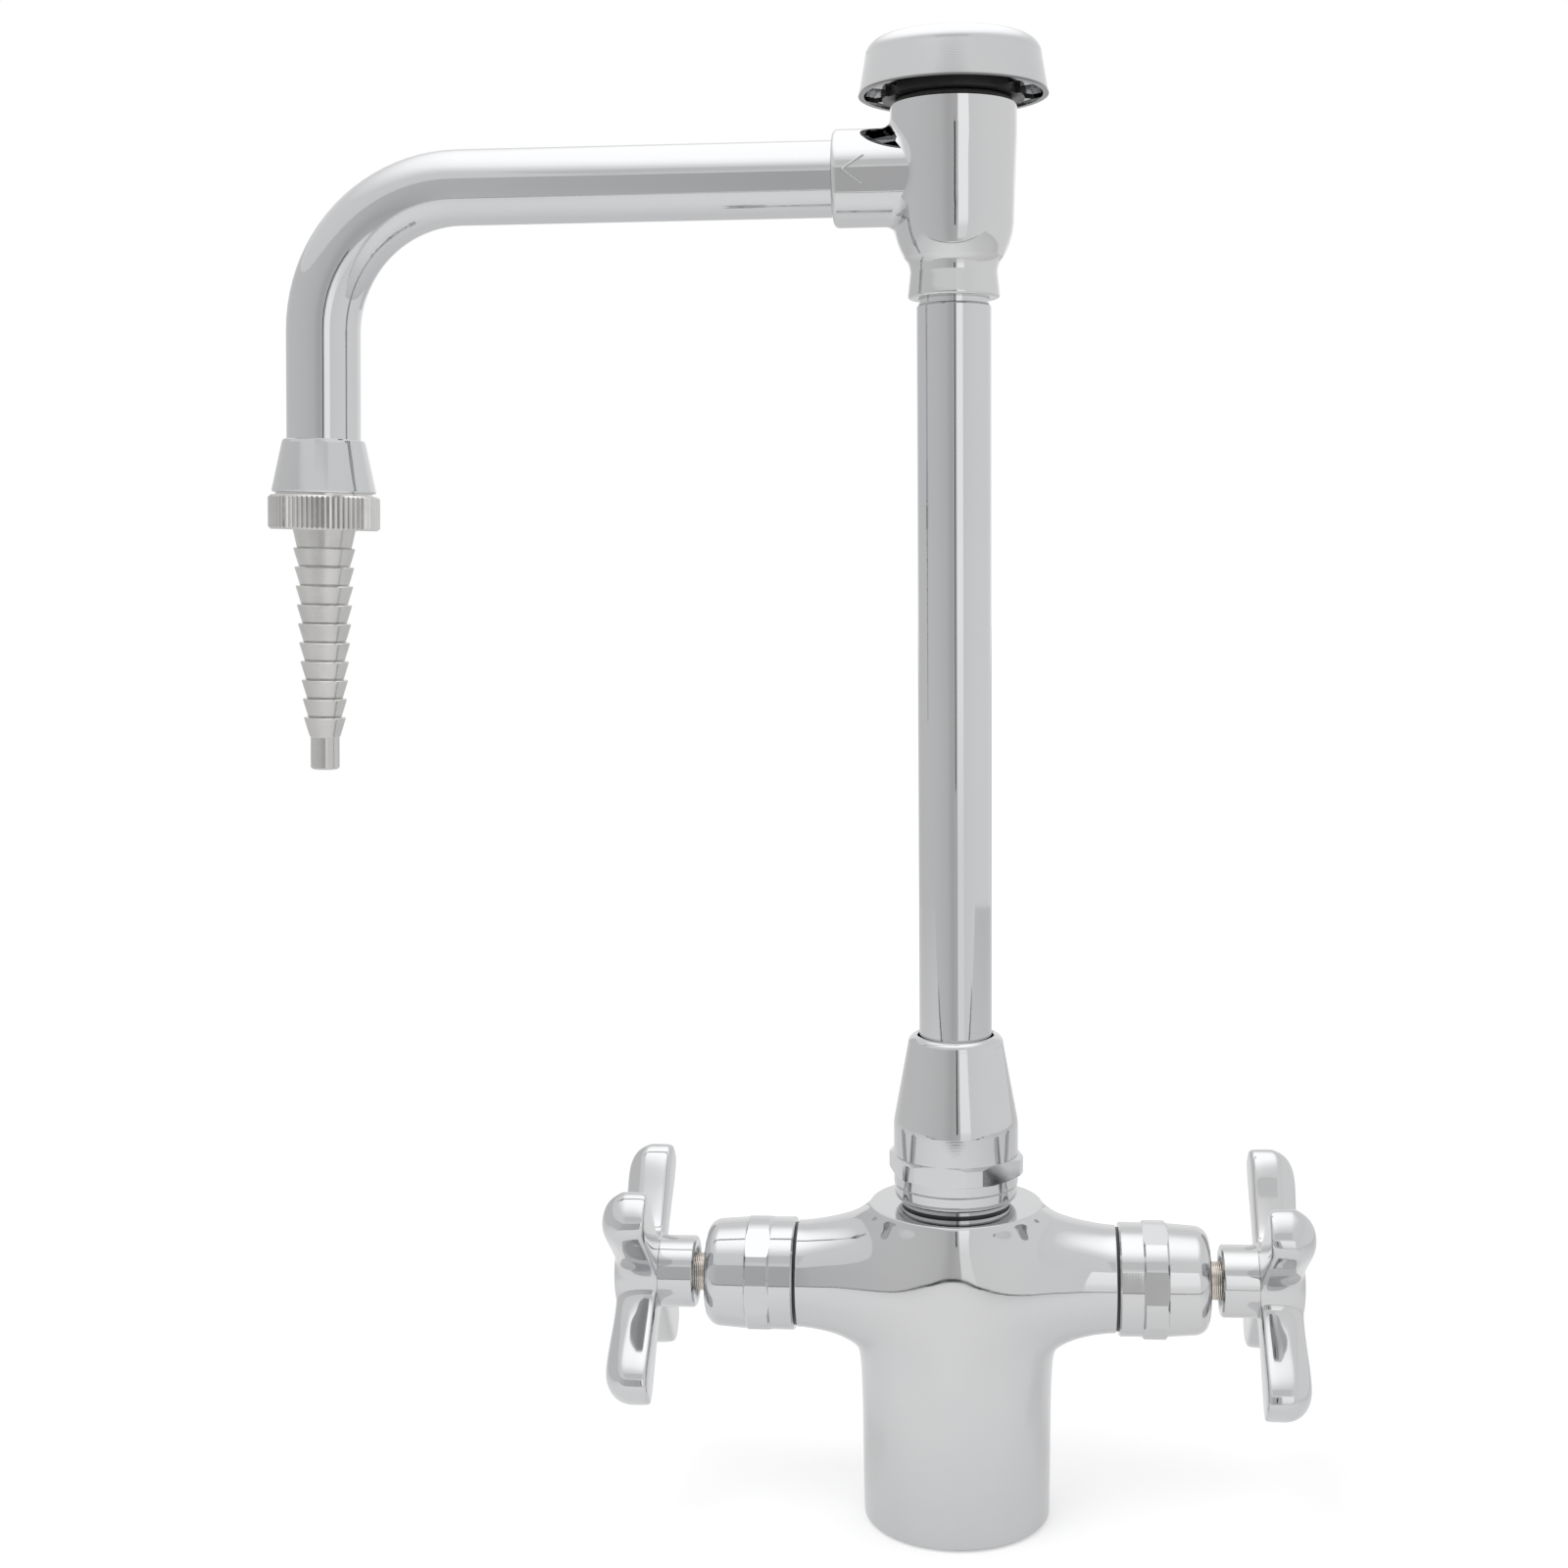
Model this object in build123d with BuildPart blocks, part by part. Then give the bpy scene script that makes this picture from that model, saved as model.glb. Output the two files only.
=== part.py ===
from build123d import *
import os
from math import cos, radians, sin

# Deck-mounted laboratory mixing faucet: one mounting hole, two screw-down valves with cross
# handles, a swivelling riser, a vacuum breaker, a bent spout and a serrated hose end.
# Millimetres. Origin at the centre of the base, on the deck. +Z is up, the valves lie along X,
# the spout points to -X at rest and the front of the faucet faces -Y.
# Threads are drawn as plain fits of 0.05 a side.

FIT = 0.05

# Driving dimensions: the body
BASE_R = 22.85
COLUMN_R = 23.15
COLUMN_KNEE_Z = 54.5
CROWN_R = 21.6
CROWN_Z = 78.4
BLEND_TOP = (18.9, 92.0)
VALVE_Z = 59.7
ARM_R = 12.8
ARM_END = 38.7
ARM_BLEND = 9.0
CROWN_EDGE = 1.4
# Sections of the arms as they widen into the column: distance from its axis, half width, half height
ARM_FLARE = (
    (0, 22.9, 18.4),
    (9, 21.9, 18.0),
    (17, 18.9, 16.3),
    (26, 15.1, 13.8),
    (36, 12.8, 12.8),
)
SPIGOT_R = 11.0
SPIGOT_END = 52.0
SHANK_HOLE_R = 14.2
SHANK_HOLE_DEPTH = 14.0
INLET_X = 7.5
INLET_R = 4.5
INLET_DEPTH = 10.0
CHANNEL_R = 3.0
SWIVEL_BORE_R = 12.0
SWIVEL_BORE_DEPTH = 12.4
PASSAGE_R = 1.9

# Driving dimensions: the valves, measured outwards from the centre of the body
SEAT_POCKET = (19.0, 24.0)
SEAT_LIP = 26.0
SEAT_THREAD_R = 6.4
GALLERY_R = 4.0
VALVE_BORE_R = 8.5
WASHER_R = 6.3
WASHER_THICK = 2.5
HOLDER_END = 33.0
HOLDER_STEM_R = 2.8
STEM_R = 4.6
SCREW_R = 6.2
SCREW_END = 45.5
SPINDLE_END = 76.9
SLEEVE_START = 36.0
SLEEVE_END = 53.45
PACKING_R = 7.5
PACKING_END = 56.8
NUT_START = 39.3
NUT_END = 61.2
NUT_R = 13.65
NUT_BAND = (44.9, 51.0)
NUT_BAND_R = 14.15
BAND_CHAMFER = 0.5
NUT_HOLE_R = 4.75
NUT_TURN = 20.0
HUB_START = 63.9
HUB_R = 8.7
ARM_INNER = 72.6
ARM_OUTER = 83.8
HANDLE_R = 33.6
TIP_LONG = 11.6
TIP_HIGH = 7.4
WEB_R = 9.6
BUTTON_R = 6.4
HANDLE_TURN = {"left": 46.0, "right": 49.5}
# Sections of a handle arm: distance from the axis, width, height, and height of the flanks
ARM_SECTIONS = (
    (5.5, 9.6, 10.8, 7.4),
    (12.0, 9.6, 10.6, 7.2),
    (19.0, 10.7, 10.8, 7.0),
    (27.0, 11.9, 11.2, 6.9),
    (35.0, 12.0, 11.2, 6.9),
)

# Driving dimensions: swivel, riser and spout
TUBE_R = 17.46 / 2
TUBE_WALL = 1.25
SWIVEL_SOCKET_R = 10.58
SWIVEL_NECK_R = 13.3
SWIVEL_TOP_Z = 120.3
SWIVEL_TOP_R = 11.5
SWIVEL_NUT_R = 15.08
SWIVEL_BAND_R = 16.4
SWIVEL_BAND = (86.3, 91.1)
SWIVEL_TURN = 47.0
NUT_LIP_Z = 79.9
CONE_START_Z = 98.9
ADAPTER_TOP_Z = 92.0
ADAPTER_HOLE_R = 7.5
BUSH_R = 10.5
BUSH_FLANGE_R = 11.8
BUSH_TOP_Z = 94.6
WASHER_TOP_Z = 96.5
GROOVE_R = 9.4
GROOVE_W = 1.5
SOCKET_Z = 76.0
RISER_TOP_Z = 293.3
RISER_NECK_R = 8.2
RISER_NECK_END_Z = 303.4
SPOUT_Z = 322.4
SPOUT_START = 17.0
REACH = 149.2
BEND_R = 34.0
DROP_LEAN = 1.86
DROP = 62.5

# Driving dimensions: the vacuum breaker
FOOT_Z = 294.6
FOOT_R = 10.75
WAIST_R = 10.2
WAIST_Z = 300.4
BARREL_R = 14.65
BARREL_TOP_Z = 338.0
CHAMBER_R = 11.4
BONNET_R = 11.95
BONNET_THREAD_Z = 328.0
FLANGE_R = 16.4
FLANGE_Z = (339.6, 348.5)
STANDOFF_R = 13.2
STANDOFF_TOP_Z = 351.5
VENT_R = 9.3
GUIDE_Z = (341.0, 344.0)
BREAKER_SEAT_R = 8.9
SEAT_BORE_R = 5.4
POPPET_R = 8.2
POPPET_STEM_R = 1.5
TAB_ANGLES = (30, 150, 210, 330)
TAB_Z = (341.0, 342.1)
TAB_R = 15.4
TAB_W = 4.6
COLLAR_END = 27.9
COLLAR_R = 11.1
BREAKER_SEAT_Z = 314.0
VENT_SEAT_Z = 323.8
CAP_RIM_Z = 340.5
CAP_RIM_R = 21.9
CAP_TOP_Z = 353.7
CAP_WALL = 1.3

# Driving dimensions: the outlet, measured down the leaning drop from the spout's axis
CONE_TOP = 58.3
CONE_BOTTOM = 71.0
CONE_BOTTOM_R = 12.3
THREAD_R = 8.5
COLLAR_TOP = 71.6
COLLAR_BOTTOM = 79.8
KNURL_R = 13.15
KNURLS = 66
BARB_TOP = 84.1
BARB_PITCH = 4.55
BARBS = 10
BARB_R = (7.3, 5.0)
PIPE_R = 3.45
TIP_END = 137.7
TIP_BORE_R = 2.3

valve_axis = Axis((0, 0, VALVE_Z), (1, 0, 0))
drop_dir = Vector(-sin(radians(DROP_LEAN)), 0, -cos(radians(DROP_LEAN)))
drop_start = Vector(-REACH, 0, SPOUT_Z)
drop_plane = Plane(origin=drop_start, x_dir=(0, 1, 0), z_dir=drop_dir)
STAND = (Align.CENTER, Align.CENTER, Align.MIN)
os.makedirs("parts", exist_ok=True)


def save(piece, name):
    """Label a finished piece and write its file."""
    piece.part.label = name
    export_step(piece.part, f"parts/{name}.step")


def ring(r_in, r_out, low, high):
    """Corners of a ring's section, as (radius, height)."""
    return [(r_in, low), (r_out, low), (r_out, high), (r_in, high)]


def upright(points):
    """Turn a section of (radius, height) points about the Z axis."""
    with BuildSketch(Plane.XZ) as section:
        with BuildLine():
            Polyline(*points, close=True)
        make_face()
    revolve(section.sketch, axis=Axis.Z)


def sideways(side, points, mode=Mode.ADD):
    """Turn a section of (distance outwards, radius) points about one valve's axis."""
    with BuildSketch(Plane.XZ) as section:
        with BuildLine():
            Polyline(*[(side * a, VALVE_Z + r) for a, r in points], close=True)
        make_face()
    revolve(section.sketch, axis=valve_axis, mode=mode)


def down_the_drop(points):
    """Turn a section of (radius, distance down the drop) points about the drop's axis."""
    section_plane = Plane(origin=drop_start, x_dir=(0, 1, 0), z_dir=Vector(0, 1, 0).cross(drop_dir))
    with BuildSketch(section_plane) as section:
        with BuildLine():
            Polyline(*points, close=True)
        make_face()
    revolve(section.sketch, axis=Axis(drop_start, drop_dir))


def valve_plane(side, outwards):
    """Plane square to a valve's axis, looking outwards, with its local Y up."""
    return Plane(origin=(side * outwards, 0, VALVE_Z), x_dir=(0, side, 0), z_dir=(side, 0, 0))


# Body casting: column, domed shoulders, two valve arms blended in, passages and mounting holes.
# The column is drawn taller, so that the arms' blends run out over it, and is cut at the crown.
with BuildPart() as faucet_body:
    with BuildSketch(Plane.XZ):
        with BuildLine():
            Polyline((0, BLEND_TOP[1]), (0, 0), (BASE_R, 0), (COLUMN_R, 36), (COLUMN_R, COLUMN_KNEE_Z))
            ThreePointArc((COLUMN_R, COLUMN_KNEE_Z), (CROWN_R, CROWN_Z), BLEND_TOP)
            Line(BLEND_TOP, (0, BLEND_TOP[1]))
        make_face()
    revolve(axis=Axis.Z)
    for side in (-1, 1):
        for outwards, wide, high in ARM_FLARE:
            with BuildSketch(valve_plane(side, outwards)):
                Ellipse(wide, high)
        loft()
        sideways(side, [(0, 0), (0, ARM_R), (ARM_END, ARM_R), (ARM_END, 0)])
    arm_joints = [
        e
        for e in faucet_body.edges()
        if e.geom_type not in (GeomType.CIRCLE, GeomType.LINE) and abs(e.center().X) < 30
    ]
    fillet(arm_joints, ARM_BLEND)
    split(bisect_by=Plane.XY.offset(CROWN_Z), keep=Keep.BOTTOM)
    crown_edge = faucet_body.faces().sort_by(Axis.Z)[-1].outer_wire().edges()
    fillet(crown_edge, CROWN_EDGE)
    base_edge = faucet_body.edges().filter_by(GeomType.CIRCLE).sort_by(Axis.Z)[0]
    chamfer(base_edge, 0.5)
    for side in (-1, 1):
        sideways(side, [(ARM_END - 1, 0), (ARM_END - 1, SPIGOT_R), (SPIGOT_END, SPIGOT_R), (SPIGOT_END, 0)])
    with Locations((0, 0, 0)):
        Cylinder(SHANK_HOLE_R, SHANK_HOLE_DEPTH, align=STAND, mode=Mode.SUBTRACT)
    with Locations((0, 0, CROWN_Z - SWIVEL_BORE_DEPTH)):
        Cylinder(SWIVEL_BORE_R, SWIVEL_BORE_DEPTH, align=STAND, mode=Mode.SUBTRACT)
    with Locations((-INLET_X, 0, SHANK_HOLE_DEPTH), (INLET_X, 0, SHANK_HOLE_DEPTH)):
        Cylinder(INLET_R, INLET_DEPTH, align=STAND, mode=Mode.SUBTRACT)
        Cylinder(CHANNEL_R, VALVE_Z - SHANK_HOLE_DEPTH, align=STAND, mode=Mode.SUBTRACT)
    for side in (-1, 1):
        bore = [
            (INLET_X - CHANNEL_R, 0),
            (INLET_X - CHANNEL_R, GALLERY_R),
            (SEAT_POCKET[0], GALLERY_R),
            (SEAT_POCKET[0], SEAT_THREAD_R + FIT),
            (SEAT_POCKET[1], SEAT_THREAD_R + FIT),
            (SEAT_POCKET[1], VALVE_BORE_R),
            (SPIGOT_END, VALVE_BORE_R),
            (SPIGOT_END, 0),
        ]
        sideways(side, bore, mode=Mode.SUBTRACT)
        mouth = Vector(side * 30, 0, VALVE_Z + VALVE_BORE_R - 0.6)
        into_bore = Vector(-side * 20, 0, 1.5)
        with BuildSketch(Plane(origin=mouth, z_dir=into_bore)) as passage:
            Circle(PASSAGE_R)
        extrude(passage.sketch, amount=into_bore.length, mode=Mode.SUBTRACT)
save(faucet_body, "faucet_body")

# One arm of a cross handle, along +X with its outer face up. It swells from a narrow neck to a
# round end, flat on the inside and well rounded along the outside.
with BuildPart() as handle_arm:
    for along, width, height, flank in ARM_SECTIONS:
        half = width / 2
        with BuildSketch(Plane(origin=(along, 0, ARM_INNER), x_dir=(0, 1, 0), z_dir=(1, 0, 0))):
            with BuildLine():
                Polyline((-half, flank), (-half, 1.2), (1.2 - half, 0))
                Line((1.2 - half, 0), (half - 1.2, 0))
                Polyline((half - 1.2, 0), (half, 1.2), (half, flank))
                ThreePointArc((half, flank), (0, height), (-half, flank))
            make_face()
    loft()
    with BuildSketch(Plane.XY.offset(ARM_INNER)) as plan:
        with BuildLine():
            Polyline((HANDLE_R - 6.1, -6.1), (0, -6.1), (0, 6.1), (HANDLE_R - 6.1, 6.1))
            ThreePointArc((HANDLE_R - 6.1, -6.1), (HANDLE_R, 0), (HANDLE_R - 6.1, 6.1))
        make_face()
    extrude(plan.sketch, amount=14, mode=Mode.INTERSECT)
    with BuildSketch(Plane.XZ) as side_view:
        with BuildLine():
            Polyline(
                (HANDLE_R - TIP_LONG, ARM_OUTER),
                (0, ARM_OUTER),
                (0, ARM_INNER),
                (HANDLE_R - 1.2, ARM_INNER),
                (HANDLE_R - 0.3, ARM_INNER + 0.4),
                (HANDLE_R, ARM_INNER + 1.4),
                (HANDLE_R, ARM_OUTER - TIP_HIGH),
            )
            tip_centre = (HANDLE_R - TIP_LONG, ARM_OUTER - TIP_HIGH)
            EllipticalCenterArc(tip_centre, TIP_LONG, TIP_HIGH, start_angle=0, arc_size=90)
        make_face()
    extrude(side_view.sketch, amount=8, both=True, mode=Mode.INTERSECT)

# The two valves. The seat, sleeve, packing and bonnet nut stay with the body, the disc holder
# slides with its washer, and the spindle turns with the handle.
for name, side in (("left", -1), ("right", 1)):
    def at(outwards, radius):
        """A point of the valve's section, by its distance outwards and its radius."""
        return (side * outwards, VALVE_Z + radius)

    with BuildPart() as valve_seat:
        sideways(side, [
            (SEAT_POCKET[0] + 0.2, GALLERY_R),
            (SEAT_POCKET[0] + 0.2, SEAT_THREAD_R),
            (SEAT_POCKET[1] + FIT, SEAT_THREAD_R),
            (SEAT_POCKET[1] + FIT, SEAT_THREAD_R + 0.8),
            (SEAT_LIP - 0.8, SEAT_THREAD_R + 0.8),
            (SEAT_LIP - 0.8, 5.6),
            (SEAT_LIP, 5.3),
            (SEAT_LIP, 4.3),
            (SEAT_LIP - 0.6, GALLERY_R),
        ])
    save(valve_seat, f"{name}_valve_seat")

    with BuildPart() as seat_washer:
        sideways(side, [(a, r) for r, a in ring(1.65, WASHER_R, SEAT_LIP, SEAT_LIP + WASHER_THICK)])
    save(seat_washer, f"{name}_seat_washer")

    holder_face = SEAT_LIP + WASHER_THICK + FIT
    with BuildPart() as disc_holder:
        sideways(side, [
            (holder_face, 1.6),
            (holder_face, WASHER_R + 0.1),
            (SEAT_LIP + 0.8, WASHER_R + 0.1),
            (SEAT_LIP + 0.8, WASHER_R + 1.1),
            (HOLDER_END - 1.6, WASHER_R + 1.1),
            (HOLDER_END, WASHER_R - 0.5),
            (HOLDER_END, HOLDER_STEM_R),
            (HOLDER_END + 5.2, HOLDER_STEM_R),
            (HOLDER_END + 5.2, 0),
            (HOLDER_END + 1.0, 0),
            (HOLDER_END + 1.0, 1.6),
        ])
    save(disc_holder, f"{name}_disc_holder")

    with BuildPart() as washer_screw:
        sideways(side, [
            (SEAT_LIP - 1.1, 0),
            (SEAT_LIP - 1.1, 2.6),
            (SEAT_LIP - 0.7, 3.0),
            (SEAT_LIP, 3.0),
            (SEAT_LIP, 1.55),
            (HOLDER_END, 1.55),
            (HOLDER_END, 0),
        ])
        with BuildSketch(valve_plane(side, SEAT_LIP - 1.1)) as slot:
            Rectangle(0.8, 8)
        extrude(slot.sketch, amount=0.6, mode=Mode.SUBTRACT)
    save(washer_screw, f"{name}_washer_screw")

    with BuildPart() as spindle:
        sideways(side, [
            (HOLDER_END + 0.3, HOLDER_STEM_R + FIT),
            (HOLDER_END + 0.3, SCREW_R),
            (SCREW_END, SCREW_R),
            (SCREW_END, STEM_R),
            (SPINDLE_END - 0.5, STEM_R),
            (SPINDLE_END, STEM_R - 0.5),
            (SPINDLE_END, 2.05),
            (SPINDLE_END - 6.5, 2.05),
            (SPINDLE_END - 6.5, 0),
            (HOLDER_END + 5.6, 0),
            (HOLDER_END + 5.6, HOLDER_STEM_R + FIT),
        ])
    save(spindle, f"{name}_spindle")

    with BuildPart() as valve_sleeve:
        sideways(side, [
            (SLEEVE_START, SCREW_R + FIT),
            (SLEEVE_START, VALVE_BORE_R - FIT),
            (SPIGOT_END, VALVE_BORE_R - FIT),
            (SPIGOT_END, SPIGOT_R - 0.2),
            (SLEEVE_END, SPIGOT_R - 0.2),
            (SLEEVE_END, STEM_R + 0.1),
            (SPIGOT_END - 2, STEM_R + 0.1),
            (SPIGOT_END - 2, SCREW_R + FIT),
        ])
    save(valve_sleeve, f"{name}_valve_sleeve")

    with BuildPart() as bonnet_gasket:
        gasket = ring(SPIGOT_R + FIT, ARM_R - 0.4, ARM_END + FIT, NUT_START - FIT)
        sideways(side, [(a, r) for r, a in gasket])
    save(bonnet_gasket, f"{name}_bonnet_gasket")

    with BuildPart() as packing:
        sideways(side, [(a, r) for r, a in ring(STEM_R + FIT, PACKING_R, SLEEVE_END + FIT, PACKING_END)])
    save(packing, f"{name}_packing")

    with BuildPart() as packing_washer:
        washer = ring(STEM_R + 0.1, PACKING_R, PACKING_END + FIT, PACKING_END + 1.3)
        sideways(side, [(a, r) for r, a in washer])
    save(packing_washer, f"{name}_packing_washer")

    # Chrome bonnet nut: a smooth barrel with a hexagon band standing just proud of it
    with BuildPart() as hexagon:
        with BuildSketch(valve_plane(side, NUT_BAND[0])) as band:
            RegularPolygon(NUT_R - 0.05, 6, major_radius=False, rotation=NUT_TURN)
            Circle(NUT_R - 1.0, mode=Mode.SUBTRACT)
        extrude(band.sketch, amount=NUT_BAND[1] - NUT_BAND[0])
        sideways(side, [
            (NUT_BAND[0], 0),
            (NUT_BAND[0], NUT_R),
            (NUT_BAND[0] + BAND_CHAMFER, NUT_BAND_R),
            (NUT_BAND[1] - BAND_CHAMFER, NUT_BAND_R),
            (NUT_BAND[1], NUT_R - 0.1),
            (NUT_BAND[1], 0),
        ], mode=Mode.INTERSECT)
    with BuildPart() as bonnet_nut:
        with BuildSketch(Plane.XZ) as nut_section:
            with BuildLine():
                Polyline(
                    at(NUT_END, NUT_HOLE_R),
                    at(PACKING_END + 1.4, NUT_HOLE_R),
                    at(PACKING_END + 1.4, PACKING_R + FIT),
                    at(SLEEVE_END + FIT, PACKING_R + FIT),
                    at(SLEEVE_END + FIT, SPIGOT_R + FIT),
                    at(NUT_START, SPIGOT_R + FIT),
                    at(NUT_START, NUT_R - 0.35),
                    at(NUT_START + 0.4, NUT_R),
                    at(NUT_BAND[1], NUT_R - 0.15),
                    at(NUT_END - 3.4, NUT_R - 0.65),
                )
                ThreePointArc(
                    at(NUT_END - 3.4, NUT_R - 0.65),
                    at(NUT_END - 1.1, NUT_R - 1.75),
                    at(NUT_END - 0.1, NUT_R - 4.4),
                )
                Polyline(
                    at(NUT_END - 0.1, NUT_R - 4.4),
                    at(NUT_END, NUT_HOLE_R + 1.2),
                    at(NUT_END, NUT_HOLE_R),
                )
            make_face()
        revolve(nut_section.sketch, axis=valve_axis)
        add(hexagon.part)
    save(bonnet_nut, f"{name}_bonnet_nut")

    # Cross handle: four arms on a round web, with the hub reaching in towards the nut
    with BuildPart(valve_plane(side, 0)) as handle:
        with BuildSketch(Plane.XZ) as web:
            with BuildLine():
                Polyline(
                    at(ARM_OUTER - 0.9, BUTTON_R + 1.3),
                    at(ARM_OUTER - 0.7, BUTTON_R + 1.0),
                    at(ARM_OUTER - 0.7, 0),
                    at(ARM_INNER, 0),
                    at(ARM_INNER, WEB_R),
                    at(ARM_INNER + 3.4, WEB_R),
                )
                ThreePointArc(
                    at(ARM_INNER + 3.4, WEB_R),
                    at(ARM_INNER + 7.0, WEB_R - 0.6),
                    at(ARM_OUTER - 0.9, BUTTON_R + 1.3),
                )
            make_face()
        revolve(web.sketch, axis=valve_axis)
        with PolarLocations(0, 4, start_angle=HANDLE_TURN[name] * side):
            add(handle_arm.part)
        sideways(side, [
            (HUB_START, STEM_R + FIT),
            (HUB_START, HUB_R - 0.5),
            (HUB_START + 0.5, HUB_R),
            (ARM_INNER + 2, HUB_R),
            (ARM_INNER + 2, STEM_R + FIT),
        ])
        sideways(side, [
            (ARM_INNER - 1, 0),
            (ARM_INNER - 1, STEM_R + FIT),
            (SPINDLE_END + FIT, STEM_R + FIT),
            (SPINDLE_END + FIT, 2.2),
            (SPINDLE_END + 1.3, 2.2),
            (SPINDLE_END + 1.3, BUTTON_R + FIT),
            (ARM_OUTER + 1, BUTTON_R + FIT),
            (ARM_OUTER + 1, 0),
        ], mode=Mode.SUBTRACT)
    save(handle, f"{name}_handle")

    with BuildPart() as handle_screw:
        sideways(side, [
            (SPINDLE_END - 6, 0),
            (SPINDLE_END - 6, 2.0),
            (SPINDLE_END + 1.35, 2.0),
            (SPINDLE_END + 1.35, 4.0),
            (SPINDLE_END + 3.2, 4.0),
            (SPINDLE_END + 3.8, 3.2),
            (SPINDLE_END + 3.8, 0),
        ])
        with BuildSketch(valve_plane(side, SPINDLE_END + 3.8)) as slot:
            Rectangle(1.0, 9)
        extrude(slot.sketch, amount=-1.2, mode=Mode.SUBTRACT)
    save(handle_screw, f"{name}_handle_screw")

    with BuildPart() as index_button:
        with BuildSketch(Plane.XZ) as button_section:
            with BuildLine():
                Polyline(
                    at(ARM_OUTER + 0.4, 0),
                    at(ARM_OUTER - 2.8, 0),
                    at(ARM_OUTER - 2.8, BUTTON_R - 0.4),
                    at(ARM_OUTER - 2.4, BUTTON_R),
                    at(ARM_OUTER - 0.5, BUTTON_R),
                )
                TangentArc(at(ARM_OUTER + 0.4, 0), at(ARM_OUTER - 0.5, BUTTON_R), tangent=(0, 1))
            make_face()
        revolve(button_section.sketch, axis=valve_axis)
    save(index_button, f"{name}_index_button")

# Swivel: adapter screwed into the crown, cone nut over it, bush and rings on the riser
with BuildPart() as swivel_adapter:
    upright([
        (ADAPTER_HOLE_R, CROWN_Z - 7.4),
        (SWIVEL_BORE_R - FIT, CROWN_Z - 7.4),
        (SWIVEL_BORE_R - FIT, CROWN_Z + 0.55),
        (SWIVEL_NECK_R, CROWN_Z + 0.55),
        (SWIVEL_NECK_R, ADAPTER_TOP_Z - 0.5),
        (SWIVEL_NECK_R - 0.5, ADAPTER_TOP_Z),
        (SWIVEL_SOCKET_R, ADAPTER_TOP_Z),
        (SWIVEL_SOCKET_R, SOCKET_Z),
        (ADAPTER_HOLE_R, SOCKET_Z),
    ])
save(swivel_adapter, "swivel_adapter")

with BuildPart() as adapter_gasket:
    upright(ring(SWIVEL_BORE_R, SWIVEL_NECK_R - 0.3, CROWN_Z, CROWN_Z + 0.5))
save(adapter_gasket, "adapter_gasket")

with BuildPart() as swivel_hexagon:
    with BuildSketch(Plane.XY.offset(SWIVEL_BAND[0])) as band:
        RegularPolygon(SWIVEL_NUT_R, 6, major_radius=False, rotation=SWIVEL_TURN)
        Circle(SWIVEL_NUT_R - 1.0, mode=Mode.SUBTRACT)
    extrude(band.sketch, amount=SWIVEL_BAND[1] - SWIVEL_BAND[0])
    with BuildSketch(Plane.XZ) as section:
        with BuildLine():
            Polyline(
                (0, SWIVEL_BAND[0]),
                (SWIVEL_NUT_R + 0.2, SWIVEL_BAND[0]),
                (SWIVEL_BAND_R, SWIVEL_BAND[0] + BAND_CHAMFER),
                (SWIVEL_BAND_R, SWIVEL_BAND[1] - BAND_CHAMFER),
                (SWIVEL_NUT_R + 0.2, SWIVEL_BAND[1]),
                (0, SWIVEL_BAND[1]),
                close=True,
            )
        make_face()
    revolve(section.sketch, axis=Axis.Z, mode=Mode.INTERSECT)

with BuildPart() as swivel_nut:
    with BuildSketch(Plane.XZ) as nut_section:
        with BuildLine():
            Polyline(
                (SWIVEL_NECK_R + FIT, NUT_LIP_Z),
                (SWIVEL_NECK_R + 0.5, NUT_LIP_Z),
            )
            ThreePointArc(
                (SWIVEL_NECK_R + 0.5, NUT_LIP_Z),
                (SWIVEL_NUT_R - 0.6, NUT_LIP_Z + 0.5),
                (SWIVEL_NUT_R - 0.2, NUT_LIP_Z + 1.6),
            )
            Polyline(
                (SWIVEL_NUT_R - 0.2, NUT_LIP_Z + 1.6),
                (SWIVEL_NUT_R - 0.15, NUT_LIP_Z + 3.6),
                (SWIVEL_NUT_R, NUT_LIP_Z + 4.1),
                (SWIVEL_NUT_R, CONE_START_Z - 1.0),
            )
            ThreePointArc(
                (SWIVEL_NUT_R, CONE_START_Z - 1.0),
                (SWIVEL_NUT_R - 0.05, CONE_START_Z),
                (SWIVEL_NUT_R - 0.2, CONE_START_Z + 1.0),
            )
            Line((SWIVEL_NUT_R - 0.2, CONE_START_Z + 1.0), (SWIVEL_TOP_R, SWIVEL_TOP_Z - 2.2))
            ThreePointArc(
                (SWIVEL_TOP_R, SWIVEL_TOP_Z - 2.2),
                (SWIVEL_TOP_R - 0.65, SWIVEL_TOP_Z - 0.65),
                (SWIVEL_TOP_R - 2.0, SWIVEL_TOP_Z),
            )
            Polyline(
                (SWIVEL_TOP_R - 2.0, SWIVEL_TOP_Z),
                (TUBE_R + 0.47, SWIVEL_TOP_Z - 0.3),
                (TUBE_R + 0.47, WASHER_TOP_Z + FIT),
                (BUSH_FLANGE_R + 0.2, WASHER_TOP_Z + FIT),
                (BUSH_FLANGE_R + 0.2, ADAPTER_TOP_Z + 0.2),
                (SWIVEL_NECK_R + FIT, ADAPTER_TOP_Z + 0.2),
                (SWIVEL_NECK_R + FIT, NUT_LIP_Z),
            )
        make_face()
    revolve(nut_section.sketch, axis=Axis.Z)
    add(swivel_hexagon.part)
save(swivel_nut, "swivel_nut")

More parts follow.
